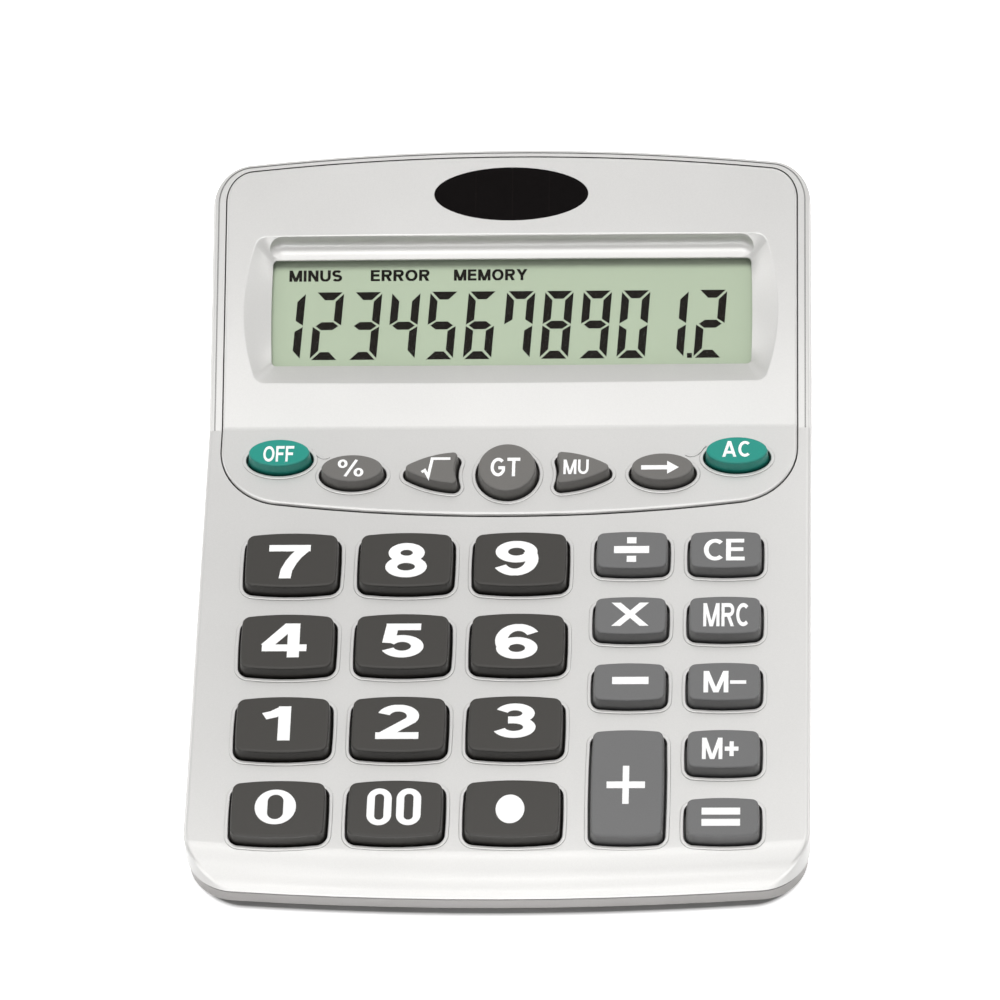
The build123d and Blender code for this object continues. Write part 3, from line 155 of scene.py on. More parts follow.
class Sketch:
    """Node tree of one material, drawn step by step."""

    recess_rays = 12

    def __init__(self, name: str) -> None:
        """Start a material with its usual shader.

        Args:
            name: name of the material.
        """
        self.material = bpy.data.materials.new(name)
        self.material.use_nodes = True
        self.nodes = self.material.node_tree.nodes
        self.links = self.material.node_tree.links
        self.shader = self.nodes["Principled BSDF"]
        self.place = self.nodes.new("ShaderNodeTexCoord").outputs["Object"]

    def set(self, **values: object) -> None:
        """Set constants on the shader's own sockets; an underscore in a name stands for a space."""
        for name, value in values.items():
            self.shader.inputs[name.replace("_", " ")].default_value = value

    def feed(self, socket: str, source: Socket) -> None:
        """Link a source to one of the shader's sockets."""
        self.links.new(source, self.shader.inputs[socket])

    def along(self, axis: Axis) -> Socket:
        """Place along one axis.

        Args:
            axis: the axis.

        Returns:
            The place in metres.
        """
        split = self.nodes.new("ShaderNodeSeparateXYZ")
        self.links.new(self.place, split.inputs[0])
        return split.outputs[axis.value]

    def noise(self, size: float, detail: float = 2.0, stretch: Optional[Sequence[float]] = None) -> Socket:
        """Soft random pattern.

        Args:
            size: size of one blotch.
            detail: how many finer layers lie on it.
            stretch: how far the pattern is drawn out along each axis, or none.

        Returns:
            The pattern's value, from 0 to 1.
        """
        node = self.nodes.new("ShaderNodeTexNoise")
        node.inputs["Scale"].default_value = 1.0 / size
        node.inputs["Detail"].default_value = detail
        place = self.place
        if stretch is not None:
            mapping = self.nodes.new("ShaderNodeMapping")
            mapping.inputs["Scale"].default_value = [1.0 / factor for factor in stretch]
            self.links.new(self.place, mapping.inputs["Vector"])
            place = mapping.outputs["Vector"]
        self.links.new(place, node.inputs["Vector"])
        return node.outputs["Fac"]

    def span(self, source: Socket, low: float, high: float, start: float = 0.3, end: float = 0.7) -> Socket:
        """Stretch a value to another range.

        Args:
            source: value to stretch.
            low: result at start.
            high: result at end.
            start: lower end of the source's own range.
            end: upper end of the source's own range.

        Returns:
            The stretched value.
        """
        node = self.nodes.new("ShaderNodeMapRange")
        node.inputs["From Min"].default_value = start
        node.inputs["From Max"].default_value = end
        node.inputs["To Min"].default_value = low
        node.inputs["To Max"].default_value = high
        self.links.new(source, node.inputs["Value"])
        return node.outputs["Result"]

    def blend(self, factor: Socket, first: Tint | Socket, second: Tint | Socket) -> Socket:
        """Mix two colours.

        Args:
            factor: share of the second colour.
            first: colour or socket.
            second: colour or socket.

        Returns:
            The mixed colour.
        """
        node = self.nodes.new("ShaderNodeMix")
        node.data_type = "RGBA"
        self.links.new(factor, node.inputs[0])
        for socket, colour in ((node.inputs[6], first), (node.inputs[7], second)):
            if isinstance(colour, Socket):
                self.links.new(colour, socket)
            else:
                socket.default_value = colour
        return node.outputs[2]

    def reckon(self, operation: str, first: Socket, second: float | Socket = 0.0) -> Socket:
        """Work out a value from one or two others.

        Args:
            operation: name of the sum.
            first: first value.
            second: second value or socket.

        Returns:
            The result.
        """
        node = self.nodes.new("ShaderNodeMath")
        node.operation = operation
        self.links.new(first, node.inputs[0])
        if isinstance(second, Socket):
            self.links.new(second, node.inputs[1])
        else:
            node.inputs[1].default_value = second
        return node.outputs[0]

    def cloud(self, tone: Colour, size: float, shades: Point, detail: float = 2.0) -> Socket:
        """Colour that drifts slowly from one shade of a tone to another.

        Args:
            tone: the tone.
            size: size of one cloud.
            shades: factors of the darker and the lighter shade.
            detail: how many finer layers lie on the clouds.

        Returns:
            The clouded colour.
        """
        drift = self.span(self.noise(size, detail), 0.0, 1.0)
        return self.blend(drift, *(shade(tone, factor) for factor in shades))

    def speckle(self, colour: Socket, size: float, strength: float) -> Socket:
        """Scatter fine lighter and darker points over a colour.

        Args:
            colour: colour to work on.
            size: size of a point.
            strength: how far a point departs from the colour.

        Returns:
            The speckled colour.
        """
        node = self.nodes.new("ShaderNodeHueSaturation")
        self.links.new(colour, node.inputs["Color"])
        value = self.span(self.noise(size, 3.0), 1.0 - strength, 1.0 + strength)
        self.links.new(value, node.inputs["Value"])
        return node.outputs["Color"]

    def stripes(self, axis: Axis, pitch: float, share: float, offset: float = 0.0) -> Socket:
        """Hard-edged stripes across an axis.

        Args:
            axis: axis that the stripes follow one another along.
            pitch: distance between two stripes.
            share: part of the pitch that a stripe fills.
            offset: where the first stripe starts.

        Returns:
            1 on a stripe and 0 between.
        """
        shifted = self.span(self.along(axis), 0.0, 1.0, offset, offset + pitch)
        shifted.node.clamp = False
        return self.reckon("LESS_THAN", self.reckon("FRACT", shifted), share)

    def under_seam(self, full: float, end: float) -> Socket:
        """Shade close under the seam of the case, which climbs towards the back.

        Args:
            full: depth under the seam down to which the shade is full.
            end: depth under the seam where it ends.

        Returns:
            1 in the shade and 0 outside it.
        """
        climb = self.reckon("MULTIPLY", self.along(Axis.Y), math.tan(math.radians(SEAM_TILT)))
        seam = self.reckon("ADD", climb, SEAM_HEIGHT)
        return self.span(self.reckon("SUBTRACT", seam, self.along(Axis.Z)), 1.0, 0.0, full, end)

    def recess(self, reach: float) -> Socket:
        """How open the surface is.

        Args:
            reach: how far away another surface still closes it in.

        Returns:
            1 in the open and less in a crease.
        """
        node = self.nodes.new("ShaderNodeAmbientOcclusion")
        node.samples = self.recess_rays
        node.inputs["Distance"].default_value = reach
        return node.outputs["AO"]

    def polish(self, pattern: Socket, low: float, high: float) -> None:
        """Let the roughness wander with a pattern."""
        self.feed("Roughness", self.span(pattern, low, high))

    def grain(self, height: Socket, depth: float) -> None:
        """Raise the surface by a pattern.

        Args:
            height: the pattern, from 0 to 1.
            depth: height of the surface where the pattern is 1.
        """
        node = self.nodes.new("ShaderNodeBump")
        node.inputs["Strength"].default_value = 1.0
        node.inputs["Distance"].default_value = depth
        self.links.new(height, node.inputs["Height"])
        self.feed("Normal", node.outputs["Normal"])


@dataclass(frozen=True)
class Finish:
    """Surface of a piece."""

    name: str

    def draw(self, sketch: Sketch) -> None:
        """Draw the surface; each kind of finish has its own way."""
        raise NotImplementedError

    def material(self) -> Material:
        """Draw the finish as a new material.

        Returns:
            The material.
        """
        sketch = Sketch(self.name)
        self.draw(sketch)
        return sketch.material


@dataclass(frozen=True)
class MouldedPlastic(Finish):
    """Moulded plastic: tone that drifts slowly, fine speckle, a grained or polished skin and, where crease is
    set, painted shade in its creases.
    """

    tone: Colour
    drift: Point = (0.975, 1.025)
    drift_size: float = 45.0 * MM
    speckle: float = 0.02
    speckle_size: float = 0.35 * MM
    roughness: float = 0.4
    unevenness: float = 0.05
    gloss: float = 0.35
    metal: float = 0.0
    # The crease fields set painted shade: the tone darkens where ambient occlusion finds nearby surfaces.
    crease: float = 0.0
    crease_reach: float = 0.8 * MM
    crease_span: Point = (0.2, 0.85)
    crease_shade_tone: float = 0.1
    grain_size: float = 0.45 * MM
    grain_depth: float = 0.003 * MM

    def dress_tone(self, sketch: Sketch) -> Socket:
        """Colour of the plastic, with painted shade in its creases.

        Args:
            sketch: material to draw on.

        Returns:
            The colour.
        """
        tone = sketch.cloud(self.tone, self.drift_size, self.drift)
        tone = sketch.speckle(tone, self.speckle_size, self.speckle)
        if self.crease:
            # Painted shade: darker where ambient occlusion finds a crease, gap or seam.
            crease_shade = sketch.span(sketch.recess(self.crease_reach), self.crease, 0.0, *self.crease_span)
            tone = sketch.blend(crease_shade, tone, shade(self.tone, self.crease_shade_tone))
        return tone

    def draw(self, sketch: Sketch) -> None:
        """Draw the plastic.

        Args:
            sketch: material to draw on.
        """
        sketch.feed("Base Color", self.dress_tone(sketch))
        sketch.set(Specular_IOR_Level=self.gloss, Metallic=self.metal)
        skin = sketch.noise(self.grain_size, 3.0)
        sketch.polish(skin, self.roughness - self.unevenness, self.roughness + self.unevenness)
        sketch.grain(skin, self.grain_depth)


@dataclass(frozen=True)
class KeyPlastic(MouldedPlastic):
    """Plastic of a key, with painted shade on its walls towards the opening that the key stands in."""

    roughness: float = 0.36
    gloss: float = 0.3
    # Painted shade on the key walls, from ambient occlusion near the opening.
    crease: float = 0.6
    crease_reach: float = 2.2 * MM


@dataclass(frozen=True)
class TrayPlastic(MouldedPlastic):
    """Plastic of the lower case, with the shade of the upper case along the seam."""

    shade_full: float = 1.0 * MM
    shade_end: float = 1.5 * MM
    shade_tone: float = 0.25

    def dress_tone(self, sketch: Sketch) -> Socket:
        """Colour of the plastic, with painted shade under the seam, where the upper case overhangs.

        Args:
            sketch: material to draw on.

        Returns:
            The colour.
        """
        tone = super().dress_tone(sketch)
        # Painted shade: a dark band just under the seam, for the shadow of the upper case.
        line = sketch.under_seam(self.shade_full, self.shade_end)
        return sketch.blend(line, tone, shade(self.tone, self.shade_tone))


@dataclass(frozen=True)
class ClearLens(Finish):
    """Clear acrylic with faint polishing haze."""

    opacity: float = 0.012
    refraction: float = 1.49
    gloss: float = 0.5
    haze_size: float = 14.0 * MM
    haze: tuple[Tint, Tint] = ((0.30, 0.32, 0.31, 1.0), (0.36, 0.38, 0.37, 1.0))
    polish_size: float = 2.5 * MM
    polish: Point = (0.03, 0.09)

    def draw(self, sketch: Sketch) -> None:
        """Draw the acrylic.

        Args:
            sketch: material to draw on.
        """
        haze = sketch.span(sketch.noise(self.haze_size, 3.0), 0.0, 1.0)
        sketch.feed("Base Color", sketch.blend(haze, *self.haze))
        sketch.polish(sketch.noise(self.polish_size, 4.0), *self.polish)
        sketch.set(Alpha=self.opacity, IOR=self.refraction, Specular_IOR_Level=self.gloss)
        sketch.material.surface_render_method = "BLENDED"


@dataclass(frozen=True)
class LiquidCrystal(Finish):
    """Grey-green liquid crystal cell over its reflector, with the reflector's fine grain."""

    tone: Colour
    cloud: Point = (0.985, 1.015)
    cloud_size: float = 38.0 * MM
    speckle: float = 0.03
    speckle_size: float = 0.18 * MM
    gloss: float = 0.25
    polish: Point = (0.38, 0.5)
    polish_size: float = 0.6 * MM
    grain_size: float = 0.25 * MM
    grain_depth: float = 0.001 * MM

    def draw(self, sketch: Sketch) -> None:
        """Draw the cell.

        Args:
            sketch: material to draw on.
        """
        tone = sketch.cloud(self.tone, self.cloud_size, self.cloud)
        sketch.feed("Base Color", sketch.speckle(tone, self.speckle_size, self.speckle))
        sketch.polish(sketch.noise(self.polish_size), *self.polish)
        sketch.set(Specular_IOR_Level=self.gloss)
        sketch.grain(sketch.noise(self.grain_size), self.grain_depth)


@dataclass(frozen=True)
class Ink(Finish):
    """Pad-printed ink: nearly even colour, slightly uneven in thickness and gloss."""

    tone: Colour
    gloss: float = 0.3
    cover: Point = (0.975, 1.0)
    cover_size: float = 1.6 * MM
    polish: Point = (0.42, 0.58)
    polish_size: float = 0.5 * MM
    grain_size: float = 0.3 * MM
    grain_depth: float = 0.003 * MM

    def draw(self, sketch: Sketch) -> None:
        """Draw the ink.

        Args:
            sketch: material to draw on.
        """
        sketch.feed("Base Color", sketch.cloud(self.tone, self.cover_size, self.cover, 3.0))
        sketch.polish(sketch.noise(self.polish_size, 3.0), *self.polish)
        sketch.set(Specular_IOR_Level=self.gloss)
        sketch.grain(sketch.noise(self.grain_size), self.grain_depth)


@dataclass(frozen=True)
class StripedFilm(Finish):
    """Film or cell with fine lines across it: conductors of a ribbon, or joints between solar cells."""

    ground: Colour
    line: Colour
    pitch: float
    share: float
    offset: float = 0.0
    roughness: float = 0.3
    unevenness: float = 0.06
    gloss: float = 0.4
    cloud: Point = (0.9, 1.1)
    cloud_size: float = 9.0 * MM
    polish_size: float = 1.2 * MM
    line_height: float = 0.02 * MM

    def draw(self, sketch: Sketch) -> None:
        """Draw the film.

        Args:
            sketch: material to draw on.
        """
        ground = sketch.cloud(self.ground, self.cloud_size, self.cloud, 3.0)
        lines = sketch.stripes(Axis.X, self.pitch, self.share, self.offset)
        sketch.feed("Base Color", sketch.blend(lines, ground, shade(self.line, 1.0)))
        sketch.polish(sketch.noise(self.polish_size), self.roughness - self.unevenness,
                      self.roughness + self.unevenness)
        sketch.set(Specular_IOR_Level=self.gloss)
        sketch.grain(lines, self.line_height)


@dataclass(frozen=True)
class Steel(Finish):
    """Plated steel with drawn or turned marks along one axis."""

    tone: Colour
    polish: Point = (0.22, 0.44)
    draw_out: tuple[float, float, float] = (1.0, 12.0, 1.0)
    stain: Point = (0.88, 1.06)
    stain_size: float = 4.0 * MM
    mark_size: float = 0.25 * MM
    mark_depth: float = 0.004 * MM

    def draw(self, sketch: Sketch) -> None:
        """Draw the steel.

        Args:
            sketch: material to draw on.
        """
        marks = sketch.noise(self.mark_size, 3.0, self.draw_out)
        sketch.feed("Base Color", sketch.cloud(self.tone, self.stain_size, self.stain, 3.0))
        sketch.polish(marks, *self.polish)
        sketch.set(Metallic=1.0)
        sketch.grain(marks, self.mark_depth)


@dataclass(frozen=True)
class CircuitBoard(Finish):
    """Green resist over copper tracks, with the tracks raised."""

    resist: Colour
    track: Colour
    track_pitch: float = 2.54 * MM
    track_share: float = 0.22
    rail_pitch: float = 7.62 * MM
    rail_share: float = 0.10
    island_size: float = 16.0 * MM
    island_edge: Point = (0.48, 0.5)
    speckle: float = 0.05
    speckle_size: float = 0.3 * MM
    polish: Point = (0.25, 0.4)
    polish_size: float = 1.0 * MM
    track_height: float = 0.03 * MM

    def draw(self, sketch: Sketch) -> None:
        """Draw the board.

        Args:
            sketch: material to draw on.
        """
        across = sketch.stripes(Axis.X, self.track_pitch, self.track_share)
        rails = sketch.stripes(Axis.Y, self.rail_pitch, self.rail_share)
        islands = sketch.span(sketch.noise(self.island_size, 1.0), 0.0, 1.0, *self.island_edge)
        cover = sketch.blend(rails, sketch.blend(islands, BLACK, across), WHITE)
        tone = sketch.blend(cover, shade(self.resist, 1.0), shade(self.track, 1.0))
        sketch.feed("Base Color", sketch.speckle(tone, self.speckle_size, self.speckle))
        sketch.polish(sketch.noise(self.polish_size), *self.polish)
        sketch.grain(cover, self.track_height)


@dataclass(frozen=True)
class Sleeve(Finish):
    """Shrunk or extruded sleeve with one band of another colour."""

    tone: Colour
    band: Colour
    band_start: float
    band_end: float
    next_band: float = 2.0
    scuff: Point = (0.92, 1.06)
    scuff_size: float = 3.0 * MM
    polish: Point = (0.24, 0.4)
    grain_size: float = 1.5 * MM
    grain_depth: float = 0.01 * MM

    def draw(self, sketch: Sketch) -> None:
        """Draw the sleeve. The next band is so far off that the object has only one.

        Args:
            sketch: material to draw on.
        """
        share = (self.band_end - self.band_start) / self.next_band
        band = sketch.stripes(Axis.X, self.next_band, share, self.band_start)
        scuff = sketch.span(sketch.noise(self.scuff_size, 4.0), 0.0, 1.0)
        tone = sketch.blend(scuff, *(shade(self.tone, factor) for factor in self.scuff))
        sketch.feed("Base Color", sketch.blend(band, tone, shade(self.band, 1.0)))
        sketch.feed("Roughness", sketch.span(scuff, *self.polish, 0.0, 1.0))
        sketch.grain(sketch.noise(self.grain_size, 3.0), self.grain_depth)


SOLAR_PITCH = 9.2 * MM
FINISHES: dict[Slot, Finish] = {
    # crease sets painted shade in creases, gaps and seams, found by ambient occlusion.
    Slot.CASE_SILVER: MouldedPlastic("pearl_silver", paint(206, 205, 203), roughness=0.28, unevenness=0.006,
                                     gloss=0.5, metal=0.3, crease=1.0, grain_depth=0.001 * MM),
    Slot.CASE_GREY: TrayPlastic("tray_grey", paint(192, 189, 187), roughness=0.45, crease=0.9),
    Slot.BLACK_PLASTIC: MouldedPlastic("holder_black", paint(34, 34, 35), roughness=0.5, speckle=0.06),
    Slot.DIGIT_KEYS: KeyPlastic("key_charcoal", paint(58, 56, 53), crease=0.75),
    Slot.OPERATOR_KEYS: KeyPlastic("key_grey", paint(110, 110, 110)),
    Slot.FUNCTION_KEYS: KeyPlastic("key_warm_grey", paint(113, 111, 108)),
    Slot.TEAL_KEYS: KeyPlastic("key_teal", paint(36, 146, 132), roughness=0.34, crease=0.5),
    Slot.CLEAR_LENS: ClearLens("clear_acrylic"),
    Slot.LCD_GLASS: LiquidCrystal("crystal_green", paint(184, 198, 173)),
    Slot.REFLECTOR_FILM: LiquidCrystal("reflector_silver", paint(196, 200, 190)),
    Slot.SMOKED_LENS: StripedFilm("smoked_acrylic", paint(12, 9, 9), paint(17, 13, 13), SOLAR_PITCH, 0.03,
                                  offset=0.2 * MM, roughness=0.2, gloss=0.05),
    Slot.SOLAR_DARK: StripedFilm("solar_cell", paint(30, 22, 30), paint(120, 110, 100), SOLAR_PITCH, 0.06,
                                 roughness=0.25),
    Slot.SCREW_STEEL: Steel("screw_zinc", paint(188, 190, 194)),
    Slot.CONTACT_STEEL: Steel("contact_nickel", paint(196, 192, 184), (0.18, 0.4), (1.0, 1.0, 10.0)),
    Slot.RIBBON_FILM: StripedFilm("ribbon_amber", paint(176, 130, 66), paint(70, 56, 40), 0.9 * MM, 0.4,
                                  roughness=0.35),
    Slot.SILICONE: MouldedPlastic("silicone_grey", paint(172, 174, 176), roughness=0.55, gloss=0.3,
                                  speckle=0.03),
    Slot.CIRCUIT_BOARD: CircuitBoard("board_green", paint(38, 92, 52), paint(70, 132, 70)),
    Slot.CAPACITOR_SLEEVE: Sleeve("capacitor_blue", paint(36, 44, 72), paint(206, 208, 210), *mm(31.5, 33.5)),
    Slot.CELL_SLEEVE: Sleeve("cell_sleeve", paint(52, 56, 62), paint(176, 116, 58), *mm(12.0, 40.0)),
    Slot.WIRE_SLEEVE: Sleeve("wire_sleeve", paint(36, 34, 34), paint(164, 34, 30), 0.0, 0.5),
    Slot.FOOT_RUBBER: MouldedPlastic("foot_rubber", paint(58, 58, 58), roughness=0.7, gloss=0.2, speckle=0.08,
                                     grain_depth=0.02 * MM),
}
WHITE_INK = Ink("legend_white", paint(255, 255, 254))
SEGMENT_INK = Ink("segment_dark", paint(20, 16, 12), gloss=0.05)


@dataclass(frozen=True)
class Slope:
    """Flat face of the case, tilted about the crease between keypad and display."""

    tilt: float
    crease_y: float = 32.9 * MM
    crease_z: float = 25.922 * MM

    def matrix(self, x: float = 0.0, v: float = 0.0, w: float = 0.0) -> Matrix:
        """Place on the slope, with z out of it."""
        crease = Matrix.Translation((0.0, self.crease_y, self.crease_z))
        return crease @ Matrix.Rotation(math.radians(self.tilt), 4, "X") @ Matrix.Translation((x, v, w))

    def extent(self, node: str) -> tuple[Vector, Vector]:
        """Box of a node along the slope's own axes.

        Args:
            node: name of the CAD node.

        Returns:
            The lowest and highest x, v and w.
        """
        flat = self.matrix().inverted()
        return box([flat @ vertex.co for vertex in frame["nodes"][node].data.vertices])


KEYPAD = Slope(5.0)
DISPLAY = Slope(26.0)


class Bench:
    """Modelling moves that the sub-assemblies share. Each works on one mesh, which stays active."""

    @staticmethod
    def clear() -> None:
        """Leave nothing selected, so that the next operator acts on the new piece alone."""
        bpy.ops.object.select_all(action="DESELECT")

    @staticmethod
    def adopt(name: str, scale: Sequence[float] = (1.0, 1.0, 1.0)) -> Piece:
        """Take over the primitive that was just added.

        Args:
            name: name of the piece.
            scale: stretch of the primitive along x, y and z.

        Returns:
            The piece, with its place and size in its mesh.
        """
        piece = bpy.context.object
        piece.name = name
        piece.data.name = name
        piece.scale = scale
        bpy.ops.object.transform_apply(location=True, rotation=True, scale=True)
        return piece

    @staticmethod
    def plate(name: str, width: float, depth: float, x: float = 0.0, v: float = 0.0) -> Piece:
        """Flat sheet.

        Args:
            name: name of the piece.
            width: size across.
            depth: size up.
            x: middle of the sheet across.
            v: middle of the sheet up.

        Returns:
            The sheet, at height 0.
        """
        Bench.clear()
        bpy.ops.mesh.primitive_plane_add(size=1.0, location=(x, v, 0.0))
        return Bench.adopt(name, (width, depth, 1.0))

    @staticmethod
    def pick(piece: Piece, test: Callable[[Vector], bool]) -> None:
        """Go into edit mode with some vertices selected.

        Args:
            piece: the active piece.
            test: says of a vertex's place whether it is selected.
        """
        bpy.ops.object.mode_set(mode="EDIT")
        bpy.ops.mesh.select_mode(type="VERT")
        bpy.ops.mesh.select_all(action="DESELECT")
        bpy.ops.object.mode_set(mode="OBJECT")
        for vertex in piece.data.vertices:
            vertex.select = test(vertex.co)
        bpy.ops.object.mode_set(mode="EDIT")

    @staticmethod
    def shift(piece: Piece, test: Callable[[Vector], bool], move: Sequence[float]) -> None:
        """Move some vertices.

        Args:
            piece: the active piece.
            test: says of a vertex's place whether it moves.
            move: how far it moves along x, y and z.
        """
        Bench.pick(piece, test)
        bpy.ops.transform.translate(value=move)
        bpy.ops.object.mode_set(mode="OBJECT")

    @staticmethod
    def extrude(piece: Piece, test: Callable[[Vector], bool], move: Sequence[float]) -> None:
        """Extrude some edges or faces.

        Args:
            piece: the active piece.
            test: says of a vertex's place whether it is drawn out.
            move: how far it is drawn out along x, y and z.
        """
        Bench.pick(piece, test)
        bpy.ops.mesh.extrude_region_move(TRANSFORM_OT_translate={"value": move})
        bpy.ops.object.mode_set(mode="OBJECT")

    @staticmethod
    def raise_flat(piece: Piece, height: float) -> Piece:
        """Give a flat sheet thickness and turn its faces outwards."""
        Bench.extrude(piece, lambda place: True, (0.0, 0.0, height))
        return Bench.close(piece)

    @staticmethod
    def close(piece: Piece, merge: float = 0.002 * MM) -> Piece:
        """Merge doubled vertices and turn the faces outwards.

        Args:
            piece: the active piece.
            merge: distance under which vertices count as doubled.

        Returns:
            The piece.
        """
        Bench.pick(piece, lambda place: True)
        bpy.ops.mesh.remove_doubles(threshold=merge)
        bpy.ops.mesh.normals_make_consistent(inside=False)
        bpy.ops.object.mode_set(mode="OBJECT")
        return piece

    @staticmethod
    def apply(piece: Piece, kind: str, **settings: object) -> None:
        """Add a modifier and apply it.

        Args:
            piece: piece to work on, active from then on.
            kind: kind of the modifier.
            settings: its settings by name.
        """
        Bench.clear()
        piece.select_set(True)
        bpy.context.view_layer.objects.active = piece
        modifier = piece.modifiers.new(kind.lower(), kind)
        for name, value in settings.items():
            setattr(modifier, name, value)
        bpy.ops.object.modifier_apply(modifier=modifier.name)

    @staticmethod
    def join(name: str, pieces: Sequence[Piece]) -> Piece:
        """Join pieces into one.

        Args:
            name: name of the whole.
            pieces: pieces to join.

        Returns:
            The joined piece.
        """
        Bench.clear()
        for piece in pieces:
            piece.select_set(True)
        bpy.context.view_layer.objects.active = pieces[0]
        if len(pieces) > 1:
            bpy.ops.object.join()
        return Bench.adopt(name)

    @staticmethod
    def unite(pieces: Sequence[Piece]) -> Piece:
        """Make one solid of pieces that overlap.

        Args:
            pieces: the pieces. All but the first are used up.

        Returns:
            The solid.
        """
        first = pieces[0]
        for other in pieces[1:]:
            Bench.apply(first, "BOOLEAN", operation="UNION", solver="EXACT", object=other)
            bpy.data.objects.remove(other)
        return first

    @staticmethod
    def extent(piece: Piece) -> tuple[Vector, Vector]:
        """Lowest and highest place of a piece's vertices along each axis."""
        return box([vertex.co for vertex in piece.data.vertices])

    @staticmethod
    def copy(piece: Piece, name: str) -> Piece:
        """Copy a piece with a mesh of its own.

        Args:
            piece: piece to copy.
            name: name of the copy.

        Returns:
            The copy.
        """
        twin = piece.copy()
        twin.data = piece.data.copy()
        twin.name = name
        twin.data.name = name
        bpy.context.scene.collection.objects.link(twin)
        return twin

    @staticmethod
    def discard(pieces: Iterable[Piece]) -> None:
        """Remove pieces that were only patterns for copies."""
        for piece in list(pieces):
            bpy.data.objects.remove(piece)

    @staticmethod
    def finish(piece: Piece, place: Matrix, material: Material, body: str,
               slot: Optional[Slot] = None) -> Piece:
        """Put a piece in its place, dress it and let it ride on a body.

        Args:
            piece: the piece, modelled at the origin.
            place: where it goes in the frame.
            material: its finish.
            body: CAD body that it moves with.
            slot: not used.

        Returns:
            The piece.
        """
        piece.data.transform(place)
        piece.data.update()
        piece.data.materials.clear()
        piece.data.materials.append(material)
        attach(piece, body)
        LOG.info("%s rides on %s with %d faces", piece.name, body, len(piece.data.polygons))
        return piece


@dataclass(frozen=True)
class Stroke:
    """Pen stroke of even thickness along a run of points, mitred where they meet."""

    points: tuple[Point, ...]
    pen: float
    merge: float = 0.01

    def build(self, thickness: float) -> Piece:
        """Model the stroke as a flat solid.

        Args:
            thickness: height of the solid.

        Returns:
            The stroke.
        """
        piece = Bench.plate("stroke", self.pen, self.pen, *self.points[0])
        Bench.pick(piece, lambda place: True)
        bpy.ops.mesh.merge(type="CENTER")
        for here, there in zip(self.points, self.points[1:]):
            run = (there[0] - here[0], there[1] - here[1], 0.0)
            bpy.ops.mesh.extrude_region_move(TRANSFORM_OT_translate={"value": run})
        bpy.ops.mesh.select_all(action="SELECT")
        bpy.ops.mesh.remove_doubles(threshold=self.pen * self.merge)
        bpy.ops.mesh.extrude_region_move(TRANSFORM_OT_translate={"value": (0.0, 0.0, thickness)})
        bpy.ops.object.mode_set(mode="OBJECT")
        Bench.apply(piece, "SOLIDIFY", thickness=self.pen, offset=0.0, use_even_offset=True)
        return Bench.close(piece, self.pen * self.merge / 2)


ARC_STEP = 9.0


def arc(x: float, y: float, across: float, up: float, start: float, end: float) -> tuple[Point, ...]:
    """Points along part of an oval.

    Args:
        x: middle of the oval.
        y: middle of the oval.
        across: half its width.
        up: half its height.
        start: angle of the first point in degrees, anticlockwise from the right.
        end: angle of the last point.

    Returns:
        The points in order. A full turn ends where it starts.
    """
    steps = max(3, round(abs(end - start) / ARC_STEP))
    angles = [math.radians(start + (end - start) * step / steps) for step in range(steps + 1)]
    return tuple((x + across * math.cos(angle), y + up * math.sin(angle)) for angle in angles)


@dataclass(frozen=True)
class Glyph:
    """Sign of a block alphabet, drawn with a square pen in a box of height 1."""

    pen: float
    runs: tuple[tuple[Point, ...], ...]
    depth: float = 0.1

    def build(self, weight: float) -> Piece:
        """Model the sign as a flat solid, trimmed level at its head and foot.

        Args:
            weight: how much thicker or thinner than its own the pen is.

        Returns:
            The sign.
        """
        piece = Bench.unite([Stroke(run, self.pen * weight).build(self.depth) for run in self.runs])
        for level, outward in ((1.0, 1.0), (0.0, -1.0)):
            Bench.pick(piece, lambda place: True)
            bpy.ops.mesh.bisect(plane_co=(0.0, level, 0.0), plane_no=(0.0, outward, 0.0), use_fill=True,
                                clear_outer=True)
            bpy.ops.object.mode_set(mode="OBJECT")
        return piece


